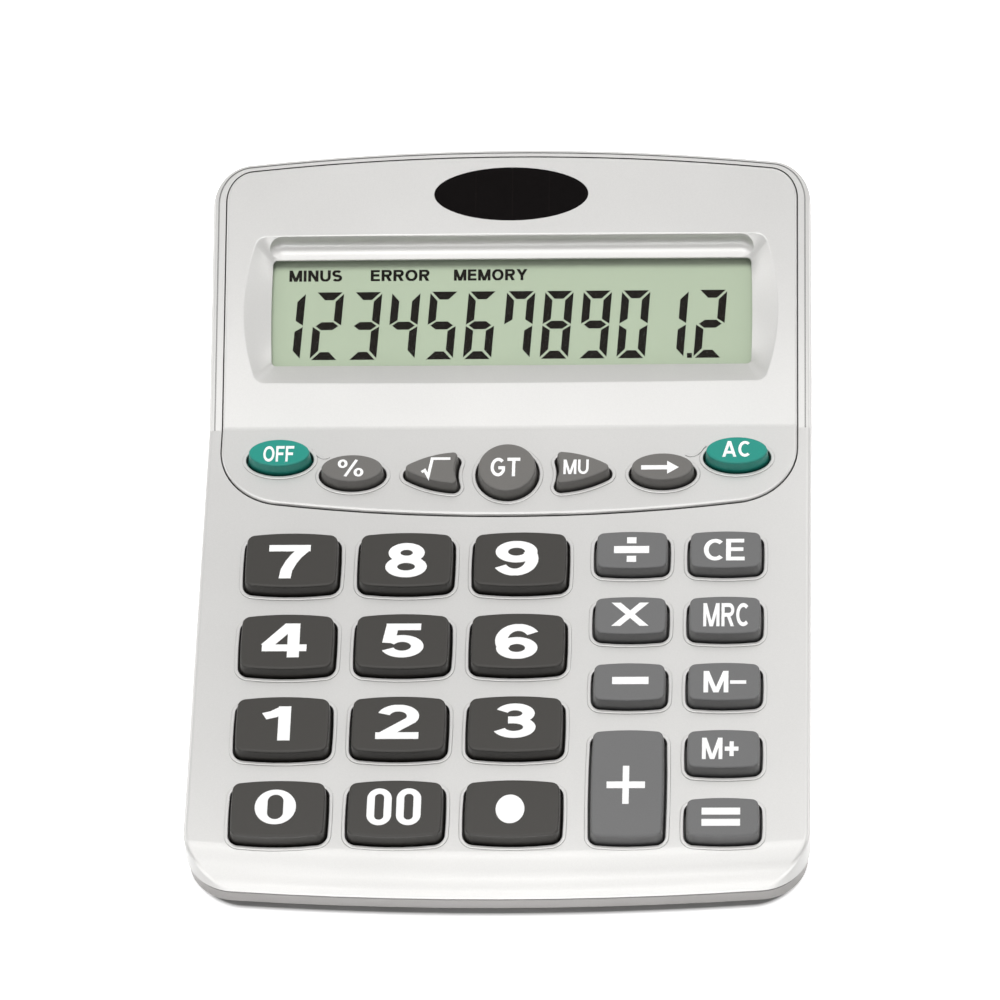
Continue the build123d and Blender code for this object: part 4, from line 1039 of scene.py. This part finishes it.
BROAD = 0.2
PLAIN = 0.17
FINE = 0.115
SIX_RING = arc(0.355, 0.31, 0.235, 0.215, 0, 360)
SIX_SWEEP = arc(0.375, 0.52, 0.275, 0.385, 33, 215)
STEM = ((0.085, 0.0), (0.085, 1.0))
GLYPHS: dict[str, Glyph] = {
    "1": Glyph(BROAD, (((0.33, 0.0), (0.33, 1.0)), ((0.3, 0.9), (0.15, 0.77), (0.0, 0.71)))),
    "2": Glyph(BROAD, (arc(0.36, 0.67, 0.24, 0.235, 165, -32) + ((0.13, 0.12),),
                       ((0.0, 0.095), (0.7, 0.095)))),
    "3": Glyph(BROAD, (arc(0.35, 0.71, 0.22, 0.19, 160, -90) + ((0.24, 0.52),),
                       ((0.24, 0.52),) + arc(0.34, 0.31, 0.25, 0.21, 90, -160))),
    "4": Glyph(BROAD, (((0.52, 0.0), (0.52, 1.0)), ((0.0, 0.28), (0.74, 0.28)),
                       ((0.52, 1.04), (0.07, 0.33)))),
    "5": Glyph(BROAD, (((0.1, 0.905), (0.65, 0.905)), ((0.2, 0.95), (0.14, 0.43)),
                       arc(0.36, 0.33, 0.24, 0.23, 150, -160))),
    "6": Glyph(BROAD, (SIX_RING, SIX_SWEEP)),
    "7": Glyph(BROAD, (((0.0, 0.91), (0.7, 0.91)), ((0.59, 0.87), (0.47, 0.68), (0.38, 0.48), (0.31, 0.25),
                                                   (0.28, -0.05)))),
    "8": Glyph(BROAD, (arc(0.35, 0.715, 0.205, 0.185, 0, 360), arc(0.35, 0.31, 0.25, 0.21, 0, 360))),
    "9": Glyph(BROAD, tuple(tuple((0.71 - x, 1.0 - y) for x, y in run) for run in (SIX_RING, SIX_SWEEP))),
    "A": Glyph(PLAIN, (((0.05, -0.06), (0.4, 1.06)), ((0.73, -0.06), (0.38, 1.06)),
                       ((0.18, 0.29), (0.6, 0.29)))),
    "C": Glyph(PLAIN, (arc(0.4, 0.5, 0.31, 0.415, 48, 312),)),
    "E": Glyph(PLAIN, (STEM, ((0.085, 0.915), (0.63, 0.915)), ((0.085, 0.52), (0.6, 0.52)),
                       ((0.085, 0.085), (0.65, 0.085)))),
    "F": Glyph(PLAIN, (STEM, ((0.085, 0.915), (0.62, 0.915)), ((0.085, 0.5), (0.55, 0.5)))),
    "G": Glyph(PLAIN, (arc(0.41, 0.5, 0.32, 0.415, 45, 335) + ((0.7, 0.46), (0.42, 0.46)),)),
    "I": Glyph(PLAIN, (STEM,)),
    "M": Glyph(PLAIN, (STEM, ((0.815, 0.0), (0.815, 1.0)), ((0.09, 1.05), (0.46, -0.05)),
                       ((0.81, 1.05), (0.44, -0.05)))),
    "N": Glyph(PLAIN, (STEM, ((0.635, 0.0), (0.635, 1.0)), ((0.06, 1.05), (0.66, -0.05)))),
    "O": Glyph(PLAIN, (arc(0.42, 0.5, 0.335, 0.415, 0, 360),)),
    "R": Glyph(PLAIN, (STEM, ((0.085, 0.915),) + arc(0.42, 0.705, 0.2, 0.21, 90, -90) + ((0.085, 0.495),),
                       ((0.34, 0.55), (0.63, -0.06)))),
    "S": Glyph(PLAIN, (arc(0.36, 0.71, 0.25, 0.205, 30, 270) + arc(0.37, 0.295, 0.265, 0.21, 90, -150),)),
    "T": Glyph(PLAIN, (((0.0, 0.915), (0.7, 0.915)), ((0.35, 0.9), (0.35, 0.0)))),
    "U": Glyph(PLAIN, (((0.085, 1.0),) + arc(0.37, 0.4, 0.285, 0.315, 180, 360) + ((0.655, 1.0),),)),
    "X": Glyph(PLAIN, (((0.0, -0.08), (0.72, 1.08)), ((0.0, 1.08), (0.72, -0.08)))),
    "Y": Glyph(PLAIN, (((0.03, 1.06), (0.38, 0.4)), ((0.69, 1.06), (0.34, 0.4)),
                       ((0.36, 0.48), (0.36, 0.0)))),
    "%": Glyph(FINE, (arc(0.19, 0.75, 0.13, 0.19, 0, 360), arc(0.81, 0.25, 0.13, 0.19, 0, 360),
                      ((0.3, 0.02), (0.72, 0.98)))),
}


class TypeCase:
    """Patterns of the signs, each modelled once and copied for every word."""

    patterns: dict[tuple[str, float], Piece] = {}

    @classmethod
    def take(cls, sign: str, weight: float) -> Piece:
        """Take a sign out of the case.

        Args:
            sign: the sign.
            weight: how much thicker than its own its pen is.

        Returns:
            A copy of the sign.
        """
        if (sign, weight) not in cls.patterns:
            cls.patterns[sign, weight] = GLYPHS[sign].build(weight)
        return Bench.copy(cls.patterns[sign, weight], "sign")

    @classmethod
    def clear(cls) -> None:
        """Remove the patterns."""
        Bench.discard(cls.patterns.values())
        cls.patterns.clear()


@dataclass(frozen=True)
class Word:
    """Lettering drawn out to a box."""

    text: str
    width: float
    height: float
    x: float = 0.0
    v: float = 0.0
    weight: float = 1.0
    spacing: float = 0.11

    def build(self, thickness: float) -> Piece:
        """Model the lettering as a flat solid.

        Args:
            thickness: height of the solid.

        Returns:
            The lettering.
        """
        cursor = 0.0
        letters = []
        for sign in self.text:
            letter = TypeCase.take(sign, self.weight)
            low, high = Bench.extent(letter)
            letter.data.transform(Matrix.Translation((cursor - low.x, 0.0, 0.0)))
            cursor += high.x - low.x + self.spacing
            letters.append(letter)
        piece = Bench.join("word", letters)
        low, high = Bench.extent(piece)
        size = high - low
        fit = Matrix.Diagonal((self.width / size.x, self.height / size.y, thickness / size.z, 1.0))
        middle = Vector((low.x + size.x / 2, low.y + size.y / 2, low.z))
        piece.data.transform(Matrix.Translation((self.x, self.v, 0.0)) @ fit @ Matrix.Translation(-middle))
        return Bench.close(piece)


@dataclass(frozen=True)
class Bar:
    """Plain bar or square dot."""

    width: float
    height: float
    x: float = 0.0
    v: float = 0.0

    def build(self, thickness: float) -> Piece:
        """Model the bar as a flat solid."""
        return Bench.raise_flat(Bench.plate("bar", self.width, self.height, self.x, self.v), thickness)


@dataclass(frozen=True)
class Disc:
    """Round or oval dot."""

    width: float
    height: float
    x: float = 0.0
    v: float = 0.0
    sides: int = 48

    def build(self, thickness: float) -> Piece:
        """Model the dot as a flat solid.

        Args:
            thickness: height of the solid.

        Returns:
            The dot.
        """
        Bench.clear()
        bpy.ops.mesh.primitive_circle_add(vertices=self.sides, radius=0.5, fill_type="NGON",
                                          location=(self.x, self.v, 0.0))
        piece = Bench.adopt("disc", (self.width, self.height, 1.0))
        return Bench.raise_flat(piece, thickness)


@dataclass(frozen=True)
class Nought:
    """Figure nought: a rounded plate with a rounded counter cut through it."""

    width: float
    height: float
    counter_width: float
    counter_height: float
    x: float = 0.0
    v: float = 0.0
    roundness: float = 0.495
    steps: int = 14

    def rounded(self, width: float, height: float, thickness: float) -> Piece:
        """Plate with round ends.

        Args:
            width: size across.
            height: size up the key.
            thickness: height of the solid.

        Returns:
            The solid.
        """
        piece = Bench.plate("nought", width, height, self.x, self.v)
        Bench.pick(piece, lambda place: True)
        bpy.ops.mesh.bevel(offset=min(width, height) * self.roundness, segments=self.steps, affect="VERTICES")
        bpy.ops.object.mode_set(mode="OBJECT")
        return Bench.raise_flat(piece, thickness)

    def build(self, thickness: float) -> Piece:
        """Model the figure as a flat solid. The cutter stands proud of both of its faces.

        Args:
            thickness: height of the solid.

        Returns:
            The figure.
        """
        piece = self.rounded(self.width, self.height, thickness)
        counter = self.rounded(self.counter_width, self.counter_height, 3 * thickness)
        counter.data.transform(Matrix.Translation((0.0, 0.0, -thickness)))
        Bench.apply(piece, "BOOLEAN", operation="DIFFERENCE", solver="EXACT", object=counter)
        bpy.data.objects.remove(counter)
        return piece


@dataclass(frozen=True)
class Cross:
    """Plus sign: a square middle with an arm drawn out of each side."""

    width: float
    height: float
    bar_width: float
    bar_height: float
    x: float = 0.0
    v: float = 0.0

    def build(self, thickness: float) -> Piece:
        """Model the sign as a flat solid.

        Args:
            thickness: height of the solid.

        Returns:
            The sign.
        """
        piece = Bench.plate("cross", self.bar_width, self.bar_height)
        half_width, half_height = self.bar_width / 2, self.bar_height / 2
        for side in (-1, 1):
            arm = side * (self.width - self.bar_width) / 2
            Bench.extrude(piece, lambda place: abs(place.x - side * half_width) < HAIR
                          and abs(place.y) < half_height + HAIR, (arm, 0.0, 0.0))
        for side in (-1, 1):
            arm = side * (self.height - self.bar_height) / 2
            Bench.extrude(piece, lambda place: abs(place.y - side * half_height) < HAIR
                          and abs(place.x) < half_width + HAIR, (0.0, arm, 0.0))
        piece.data.transform(Matrix.Translation((self.x, self.v, 0.0)))
        return Bench.raise_flat(piece, thickness)


@dataclass(frozen=True)
class Arrow:
    """Arrow to the right: a shaft, widened to a barb and drawn to a point."""

    length: float
    shaft: float
    head_length: float
    head_height: float
    x: float = 0.0
    v: float = 0.0
    step: float = 0.01 * MM

    def build(self, thickness: float) -> Piece:
        """Model the arrow as a flat solid.

        Args:
            thickness: height of the solid.

        Returns:
            The arrow.
        """
        shaft_length = self.length - self.head_length
        piece = Bench.plate("arrow", shaft_length, self.shaft, -self.head_length / 2)
        barb = shaft_length / 2 - self.head_length / 2
        beyond = barb + self.step / 2
        Bench.extrude(piece, lambda place: place.x > barb - HAIR, (self.step, 0.0, 0.0))
        spread = (self.head_height - self.shaft) / 2
        for side in (-1, 1):
            Bench.shift(piece, lambda place: place.x > beyond and place.y * side > 0,
                        (0.0, side * spread, 0.0))
        Bench.extrude(piece, lambda place: place.x > beyond, (self.head_length - self.step, 0.0, 0.0))
        Bench.pick(piece, lambda place: place.x > barb + self.head_length / 2)
        bpy.ops.mesh.merge(type="CENTER")
        bpy.ops.object.mode_set(mode="OBJECT")
        piece.data.transform(Matrix.Translation((self.x, self.v, 0.0)))
        return Bench.raise_flat(piece, thickness)


Mark = Word | Bar | Disc | Nought | Cross | Arrow | Stroke


def legend(text: str, width: float, height: float, x: float, v: float) -> tuple[Word]:
    """Legend of one word, its box and place given in millimetres."""
    return (Word(text, *mm(width, height, x, v)),)


def bar(width: float, height: float, x: float, v: float) -> Bar:
    """Bar with its size and place given in millimetres."""
    return Bar(*mm(width, height, x, v))


@dataclass
class KeyLegends:
    """White print on the key tops, each word or sign with its box and its place off the key's middle."""

    ink_height: float = 0.06 * MM
    ink_sunk: float = 0.03 * MM
    drop: float = 0.55 * MM
    marks: dict[str, tuple[Mark, ...]] = field(default_factory=lambda: {
        "key_7": legend("7", 10.2, 9.9, -0.48, -0.06),
        "key_8": legend("8", 10.2, 10.2, 0.16, 0.22),
        "key_9": legend("9", 10.6, 10.2, -0.84, 0.66),
        "key_4": legend("4", 11.1, 9.9, -0.68, 0.77),
        "key_5": legend("5", 10.1, 9.9, 0.2, 0.61),
        "key_6": legend("6", 10.4, 10.1, -0.28, 0.22),
        "key_1": legend("1", 7.0, 9.8, -1.52, 0.75),
        "key_2": legend("2", 10.4, 9.8, -0.28, 1.08),
        "key_3": legend("3", 10.0, 9.9, 0.0, 1.33),
        "key_0": (Nought(*mm(9.9, 9.8, 3.8, 6.9, -0.55, 0.97)),),
        "key_00": tuple(Nought(*mm(5.9, 10.4, 2.2, 7.3, x, 0.93)) for x in (-3.75, 3.3)),
        "key_point": (Disc(*mm(6.9, 8.1, -0.52, 0.25)),),
        "key_divide": (bar(8.6, 2.1, -0.09, 0.49), bar(2.3, 1.8, -0.09, 3.25), bar(2.3, 1.8, -0.09, -2.27)),
        "key_multiply": legend("X", 9.1, 6.8, -0.12, 0.74),
        "key_minus": (bar(8.8, 2.1, 0.27, 0.76),),
        "key_plus": (Cross(*mm(9.2, 10.8, 1.55, 1.9, -0.3, -0.11)),),
        "key_clear_entry": legend("CE", 10.0, 6.4, -0.31, 0.34),
        "key_memory_recall": legend("MRC", 10.9, 6.8, 0.22, 0.49),
        "key_memory_minus": legend("M", 6.0, 6.2, -1.95, 0.34) + (bar(3.9, 1.0, 3.4, 0.2),),
        "key_memory_plus": legend("M", 4.9, 6.1, -2.65, 0.51) + (Cross(*mm(3.3, 4.2, 1.0, 1.2, 2.0, 0.4)),),
        "key_equals": (bar(9.2, 1.95, -0.4, 2.05), bar(9.2, 1.95, -0.4, -1.1)),
        "key_off": legend("OFF", 7.6, 4.7, -0.05, 0.02),
        "key_percent": legend("%", 6.45, 5.2, -0.3, 0.4),
        "key_root": (Stroke((mm(-2.3, -0.95), mm(-1.55, -0.4), mm(-0.65, -2.3), mm(0.2, 3.1), mm(4.7, 3.1)),
                            0.75 * MM),),
        "key_grand_total": legend("GT", 7.3, 5.6, -0.37, 0.45),
        "key_mark_up": legend("MU", 6.2, 4.4, -1.65, 0.41),
        "key_backspace": (Arrow(*mm(9.3, 1.3, 2.9, 3.9, -0.58, 0.12)),),
        "key_all_clear": legend("AC", 6.75, 4.75, -0.2, 0.77),
    })

    def build(self) -> None:
        """Print every key."""
        material = WHITE_INK.material()
        for key, marks in self.marks.items():
            low, high = KEYPAD.extent(key)
            middle = (low + high) / 2
            parts = [mark.build(self.ink_height) for mark in marks]
            piece = Bench.join(key.replace("key_", "legend_"), parts)
            place = KEYPAD.matrix(middle.x, middle.y - self.drop, high.z - self.ink_sunk)
            Bench.finish(piece, place, material, key)


@dataclass
class PanelLines:
    """Two embossed lines on the head panel that lead from the corner keys to their neighbours."""

    width: float = 0.55 * MM
    height: float = 0.3 * MM
    sunk: float = 0.1 * MM
    round: float = 0.15 * MM
    round_steps: int = 3
    panel_face: float = 0.8 * MM
    left: tuple[Point, ...] = ((-48.7, -6.4), (-48.4, -7.0), (-47.8, -7.95), (-46.9, -8.8), (-46.0, -9.2),
                               (-45.1, -9.15), (-44.4, -8.7))
    right: tuple[Point, ...] = ((43.9, -8.7), (44.9, -9.1), (45.9, -9.05), (46.8, -8.6), (47.5, -7.9),
                                (48.2, -6.8), (48.9, -5.9))

    def build(self, material: Material) -> None:
        """Raise both lines out of the panel.

        Args:
            material: finish of the panel.
        """
        for name, points in (("line_left", self.left), ("line_right", self.right)):
            piece = Stroke(tuple(mm(*point) for point in points), self.width).build(self.height)
            piece.name = name
            Bench.apply(piece, "BEVEL", width=self.round, segments=self.round_steps, limit_method="ANGLE")
            place = KEYPAD.matrix(w=self.panel_face - self.sunk)
            Bench.finish(piece, place, material, "case", Slot.CASE_SILVER)


@dataclass
class DisplayStack:
    """Crystal segments and words on the glass, under a clear lens."""

    digits: str = "12345678901.2"
    pitch: float = 9.62 * MM
    first_right: float = -51.83 * MM
    top: float = 37.4 * MM
    height: float = 17.6 * MM
    width: float = 7.1 * MM
    upright: float = 1.95 * MM
    level: float = 2.05 * MM
    gap: float = 0.4 * MM
    slant: float = 4.5
    tip: float = 0.75
    waist: float = 0.6
    middle_share: float = 0.9
    point_size: float = 1.25 * MM
    point_gap: float = 0.35 * MM
    ink_height: float = 0.05 * MM
    ink_sunk: float = 0.02 * MM
    lens_gap: float = 0.25 * MM
    lens_round: float = 0.3 * MM
    lens_steps: int = 3
    word_middle: float = 41.7 * MM
    word_height: float = 2.9 * MM
    word_weight: float = 1.3
    words: tuple[tuple[str, float, float], ...] = (
        ("MINUS", *mm(-49.45, 13.3)), ("ERROR", *mm(-28.2, 14.8)), ("MEMORY", *mm(-5.4, 18.5)))
    lit: dict[str, str] = field(default_factory=lambda: {
        "0": "abcdef", "1": "bc", "2": "abged", "3": "abgcd", "4": "fgbc", "5": "afgcd", "6": "afgedc",
        "7": "fabc", "8": "abcdefg", "9": "abcdfg"})

    def level_segment(self, name: str, v: float, inward: int) -> Piece:
        """Level segment with ends mitred towards the inside of the digit.

        Args:
            name: letter of the segment.
            v: middle of the segment above the foot of the digit.
            inward: side that the inside of the digit lies on, or 0 for the middle segment.

        Returns:
            The flat segment.
        """
        middle = self.width / 2
        piece = Bench.plate(name, self.width - 2 * self.gap, self.level, middle, v)
        for side in (-1, 1):
            if inward:
                Bench.shift(piece, lambda place: (place.x - middle) * side > 0 and (place.y - v) * inward > 0,
                            (-side * self.level, 0.0, 0.0))
            else:
                Bench.pick(piece, lambda place: (place.x - middle) * side > middle / 2)
                bpy.ops.mesh.subdivide(number_cuts=1)
                bpy.ops.object.mode_set(mode="OBJECT")
                Bench.shift(piece, lambda place: (place.x - middle) * side > middle / 2
                            and abs(place.y - v) > self.level / 4, (-side * self.level * self.tip, 0.0, 0.0))
        if not inward:
            centre = Matrix.Translation((middle, 0.0, 0.0))
            narrow = Matrix.Diagonal((self.middle_share, 1.0, 1.0, 1.0))
            piece.data.transform(centre @ narrow @ centre.inverted())
        return piece

    def upright_segment(self, name: str, right: bool, upper: bool) -> Piece:
        """Upright segment with both ends mitred towards the inside of the digit.

        Args:
            name: letter of the segment.
            right: whether it stands on the right.
            upper: whether it stands in the upper half.

        Returns:
            The flat segment.
        """
        half = self.height / 2
        length = half - 1.5 * self.gap
        x = self.width - self.upright / 2 if right else self.upright / 2
        v = half + (1 if upper else -1) * (half / 2 - 0.25 * self.gap)
        piece = Bench.plate(name, self.upright, length, x, v)
        inside = -1 if right else 1
        outer_end = 1 if upper else -1
        Bench.shift(piece, lambda place: (place.x - x) * inside > 0 and (place.y - v) * outer_end > 0,
                    (0.0, -outer_end * self.level, 0.0))
        Bench.shift(piece, lambda place: (place.x - x) * inside > 0 and (place.y - v) * outer_end < 0,
                    (0.0, outer_end * self.level * self.waist, 0.0))
        return piece

    def segments(self) -> dict[str, Piece]:
        """Model the seven segments once, as they stand in an upright digit.

        Returns:
            The segments by letter.
        """
        made = {
            "a": self.level_segment("a", self.height - self.level / 2, -1),
            "d": self.level_segment("d", self.level / 2, 1),
            "g": self.level_segment("g", self.height / 2, 0),
            "b": self.upright_segment("b", True, True),
            "c": self.upright_segment("c", True, False),
            "f": self.upright_segment("f", False, True),
            "e": self.upright_segment("e", False, False),
        }
        for piece in made.values():
            Bench.clear()
            bpy.context.view_layer.objects.active = piece
            Bench.raise_flat(piece, self.ink_height)
        return made

    def build_digits(self, front: float, material: Material) -> None:
        """Set the number on the glass.

        Args:
            front: height of the front of the glass on the display slope.
            material: finish of a dark segment.
        """
        pattern = self.segments()
        lean = math.tan(math.radians(self.slant))
        slant = Matrix.Identity(4)
        slant[0][1] = lean
        foot = self.top - self.height
        half_point = self.point_size / 2
        column = 0
        for sign in self.digits:
            right = self.first_right + column * self.pitch - self.height * lean
            place = DISPLAY.matrix(right - self.width, foot, front - self.ink_sunk)
            if sign == ".":
                point = Bench.plate("lcd_point", self.point_size, self.point_size,
                                    -half_point - self.point_gap, half_point)
                Bench.finish(Bench.raise_flat(point, self.ink_height), place, material, "case")
                continue
            column += 1
            copies = [Bench.copy(pattern[letter], letter) for letter in self.lit[sign]]
            piece = Bench.join(f"lcd_digit_{column:02d}", copies)
            Bench.finish(piece, place @ slant, material, "case")
        Bench.discard(pattern.values())

    def build_words(self, front: float, material: Material) -> None:
        """Set the status words above the number.

        Args:
            front: height of the front of the glass on the display slope.
            material: finish of a dark segment.
        """
        for text, middle, width in self.words:
            piece = Word(text, width, self.word_height, weight=self.word_weight).build(self.ink_height)
            piece.name = f"lcd_word_{text.lower()}"
            place = DISPLAY.matrix(middle, self.word_middle, front - self.ink_sunk)
            Bench.finish(piece, place, material, "case")

    def build_lens(self, material: Material) -> None:
        """Stand a lens with eased edges in for the CAD one, clear of the print on the glass.

        Args:
            material: finish of the lens.
        """
        low, high = DISPLAY.extent("display_window")
        middle = (low + high) / 2
        piece = Bench.plate("lens", high.x - low.x, high.y - low.y, middle.x, middle.y)
        Bench.raise_flat(piece, high.z - low.z - self.lens_gap)
        Bench.apply(piece, "BEVEL", width=self.lens_round, segments=self.lens_steps)
        Bench.finish(piece, DISPLAY.matrix(w=low.z + self.lens_gap), material, "case", Slot.CLEAR_LENS)
        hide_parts("display_window")

    def build(self, materials: dict[Slot, Material]) -> None:
        """Build the number, the words and the lens.

        Args:
            materials: finishes by slot.
        """
        front = DISPLAY.extent("lcd_glass")[1].z
        dark = SEGMENT_INK.material()
        self.build_digits(front, dark)
        self.build_words(front, dark)
        self.build_lens(materials[Slot.CLEAR_LENS])


@dataclass(frozen=True)
class SoftBox:
    """Oblong lamp that faces a point of the object."""

    name: str
    place: tuple[float, float, float]
    width: float
    height: float
    watts: float
    share: Share
    aim: tuple[float, float, float] = (0.0, 0.0, 0.03)

    def build(self) -> None:
        """Hang the lamp."""
        Bench.clear()
        bpy.ops.object.light_add(type="AREA", location=self.place)
        lamp = bpy.context.object
        lamp.name = self.name
        lamp.data.shape = "RECTANGLE"
        lamp.data.size = self.width
        lamp.data.size_y = self.height
        lamp.visible_camera = False
        lamp.visible_diffuse = self.share is Share.LIGHT
        lamp.visible_glossy = self.share is Share.GLEAM
        lamp.data.energy = self.watts
        lamp.rotation_euler = (Vector(self.aim) - Vector(self.place)).to_track_quat("-Z", "Y").to_euler()


@dataclass
class Studio:
    """Camera of the photograph, pale floor, white surroundings and soft lamps."""

    azimuth: float = 5.053
    elevation: float = 49.859
    roll: float = -4.157
    distance: float = 1684.6 * MM
    target: tuple[float, float, float] = (-1.595 * MM, 10.0 * MM, 25.76 * MM)
    lens: float = 246.0
    sensor: float = 36.0
    floor_radius: float = 6.0
    floor_sides: int = 96
    floor_tone: float = 0.95
    fill: float = 0.35
    glow: float = 0.8
    under_light: float = 0.2
    footprint: tuple[float, float] = (73.0 * MM, 97.3 * MM)
    footprint_round: float = 12.0 * MM
    footprint_bow: float = 3.4 * MM
    # Colour of the painted shadow on the floor under the object.
    footprint_shadow_tone: float = 0.55
    footprint_edge: float = 1.2 * MM
    lamps: tuple[SoftBox, ...] = (
        SoftBox("overhead_lamp", (-0.03, 0.17, 1.0), 0.4, 0.4, 7.4, Share.LIGHT),
        SoftBox("panel_gleam", (0.0, -0.11, 0.24), 0.8, 0.26, 0.9, Share.GLEAM, (0.0, -0.11, 0.0)),
        SoftBox("back_gleam", (0.42, 0.52, 0.90), 0.8, 0.5, 1.0, Share.GLEAM),
        SoftBox("front_gleam", (-0.15, -0.61, 0.54), 0.7, 0.30, 1.15, Share.GLEAM),
        SoftBox("lip_gleam", (-0.005, -0.13, 0.022), 0.24, 0.03, 0.04, Share.GLEAM, (-0.005, 0.0, 0.022)),
        SoftBox("floor_gleam", (-0.05, -0.26, 0.001), 0.5, 0.32, 0.8, Share.GLEAM, (-0.05, -0.26, 1.0)),
        SoftBox("left_gleam", (-0.62, 0.16, 0.14), 0.25, 0.25, 0.4, Share.GLEAM),
        SoftBox("right_gleam", (0.62, 0.16, 0.14), 0.25, 0.25, 0.4, Share.GLEAM),
    )

    def build_camera(self) -> None:
        """Stand the camera where the photograph was taken from."""
        turn, rise, lean = (math.radians(angle) for angle in (self.azimuth, self.elevation, self.roll))
        back = Vector((math.sin(turn) * math.cos(rise), -math.cos(turn) * math.cos(rise), math.sin(rise)))
        level = Vector((math.cos(turn), math.sin(turn), 0.0))
        above = back.cross(level)
        right = math.cos(lean) * level + math.sin(lean) * above
        up = -math.sin(lean) * level + math.cos(lean) * above
        place = Vector(self.target) + self.distance * back
        Bench.clear()
        bpy.ops.object.camera_add()
        camera = bpy.context.object
        camera.data.lens = self.lens
        camera.data.sensor_width = self.sensor
        camera.matrix_world = Matrix((right, up, back)).transposed().to_4x4()
        camera.location = place
        bpy.context.scene.camera = camera

    @staticmethod
    def seen_directly(nodes: bpy.types.Nodes, links: bpy.types.NodeLinks) -> Socket:
        """Whether a thing is looked at, through glass or in a glossy surface too, and doesn't light others.

        Args:
            nodes: nodes of the tree that asks.
            links: its links.

        Returns:
            1 where it is looked at.
        """
        path = nodes.new("ShaderNodeLightPath")
        seen = path.outputs["Is Camera Ray"]
        for kind in ("Is Transmission Ray", "Is Glossy Ray"):
            larger = nodes.new("ShaderNodeMath")
            larger.operation = "MAXIMUM"
            links.new(seen, larger.inputs[0])
            links.new(path.outputs[kind], larger.inputs[1])
            seen = larger.outputs[0]
        return seen

    def build_world(self) -> None:
        """White surroundings that light the object more softly than they look."""
        world = bpy.data.worlds.new("studio_white")
        world.use_nodes = True
        nodes, links = world.node_tree.nodes, world.node_tree.links
        strength = nodes.new("ShaderNodeMapRange")
        strength.inputs["To Min"].default_value = self.fill
        strength.inputs["To Max"].default_value = 1.0
        links.new(self.seen_directly(nodes, links), strength.inputs["Value"])
        ground = nodes["Background"]
        ground.inputs["Color"].default_value = WHITE
        links.new(strength.outputs["Result"], ground.inputs["Strength"])
        bpy.context.scene.world = world

    def off_footprint(self, sketch: Sketch) -> Socket:
        """How far a place on the floor lies from the object's footprint, bowed at the front and back.

        Args:
            sketch: material of the floor.

        Returns:
            The distance from the footprint drawn in by the radius of its corners.
        """
        across, along = sketch.along(Axis.X), sketch.along(Axis.Y)
        bow = self.footprint_bow / self.footprint[0] ** 2
        bowed = sketch.reckon("MULTIPLY", sketch.reckon("MULTIPLY", across, across), bow)
        upright = sketch.reckon("ADD", sketch.reckon("ABSOLUTE", along), bowed)
        squares = []
        for side, half in zip((sketch.reckon("ABSOLUTE", across), upright), self.footprint):
            beyond = sketch.reckon("SUBTRACT", side, half - self.footprint_round)
            beyond = sketch.reckon("MAXIMUM", beyond, 0.0)
            squares.append(sketch.reckon("MULTIPLY", beyond, beyond))
        return sketch.reckon("SQRT", sketch.reckon("ADD", *squares))

    def build_floor(self) -> None:
        """Pale floor that stays white to the eye, keeps the object's shadow, carries a painted shadow under
        the object and is clear from below.
        """
        Bench.clear()
        bpy.ops.mesh.primitive_circle_add(vertices=self.floor_sides, radius=self.floor_radius,
                                          fill_type="NGON")
        floor = Bench.adopt("floor")
        sketch = Sketch("floor_white")
        sketch.set(Roughness=1.0, Specular_IOR_Level=0.0, Emission_Color=WHITE)
        away = self.off_footprint(sketch)
        edge = self.footprint_round, self.footprint_round + self.footprint_edge
        strength = sketch.span(self.seen_directly(sketch.nodes, sketch.links), 0.0, 1.0, 0.0, 1.0)
        sketch.links.new(sketch.span(away, self.under_light, 0.0, *edge), strength.node.inputs["To Min"])
        sketch.links.new(sketch.span(away, 0.0, self.glow, *edge), strength.node.inputs["To Max"])
        sketch.feed("Emission Strength", strength)
        # Painted shadow: the floor's colour is darker inside the object's footprint.
        tones = ((tone, tone, tone, 1.0) for tone in (self.footprint_shadow_tone, self.floor_tone))
        sketch.feed("Base Color", sketch.blend(sketch.span(away, 0.0, 1.0, *edge), *tones))
        geometry = sketch.nodes.new("ShaderNodeNewGeometry")
        sketch.feed("Alpha", sketch.span(geometry.outputs["Backfacing"], 1.0, 0.0, 0.0, 1.0))
        floor.data.materials.append(sketch.material)

    def build(self) -> None:
        """Build the camera, the surroundings, the floor and the lamps."""
        bpy.context.scene.view_settings.view_transform = "Standard"
        self.build_camera()
        self.build_world()
        self.build_floor()
        for lamp in self.lamps:
            lamp.build()


@dataclass
class FrameDress:
    """Finishes of the pieces that come over from the frame."""

    def build(self) -> dict[Slot, Material]:
        """Give every CAD node the finish of its slot.

        Returns:
            The materials by slot.
        """
        materials = {slot: finish.material() for slot, finish in FINISHES.items()}
        for name, node in frame["nodes"].items():
            for place in node.material_slots:
                place.material = materials[Slot(place.material.name.split(".")[0])]
            LOG.info("%s wears %s", name, node.material_slots[0].material.name)
        return materials


def clear_startup() -> None:
    """Remove the objects that the program starts with, so that only the frame is left."""
    kept = set(frame["nodes"].values()) | set(frame["bodies"].values())
    for item in [item for item in bpy.data.objects if item not in kept]:
        bpy.data.objects.remove(item)


def main() -> None:
    """Build the sub-assemblies in order."""
    logging.basicConfig(level=logging.INFO, format="%(name)s: %(message)s")
    clear_startup()
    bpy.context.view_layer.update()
    materials = FrameDress().build()
    PanelLines().build(materials[Slot.CASE_SILVER])
    DisplayStack().build(materials)
    KeyLegends().build()
    TypeCase.clear()
    Studio().build()


if __name__ == "__main__":
    main()
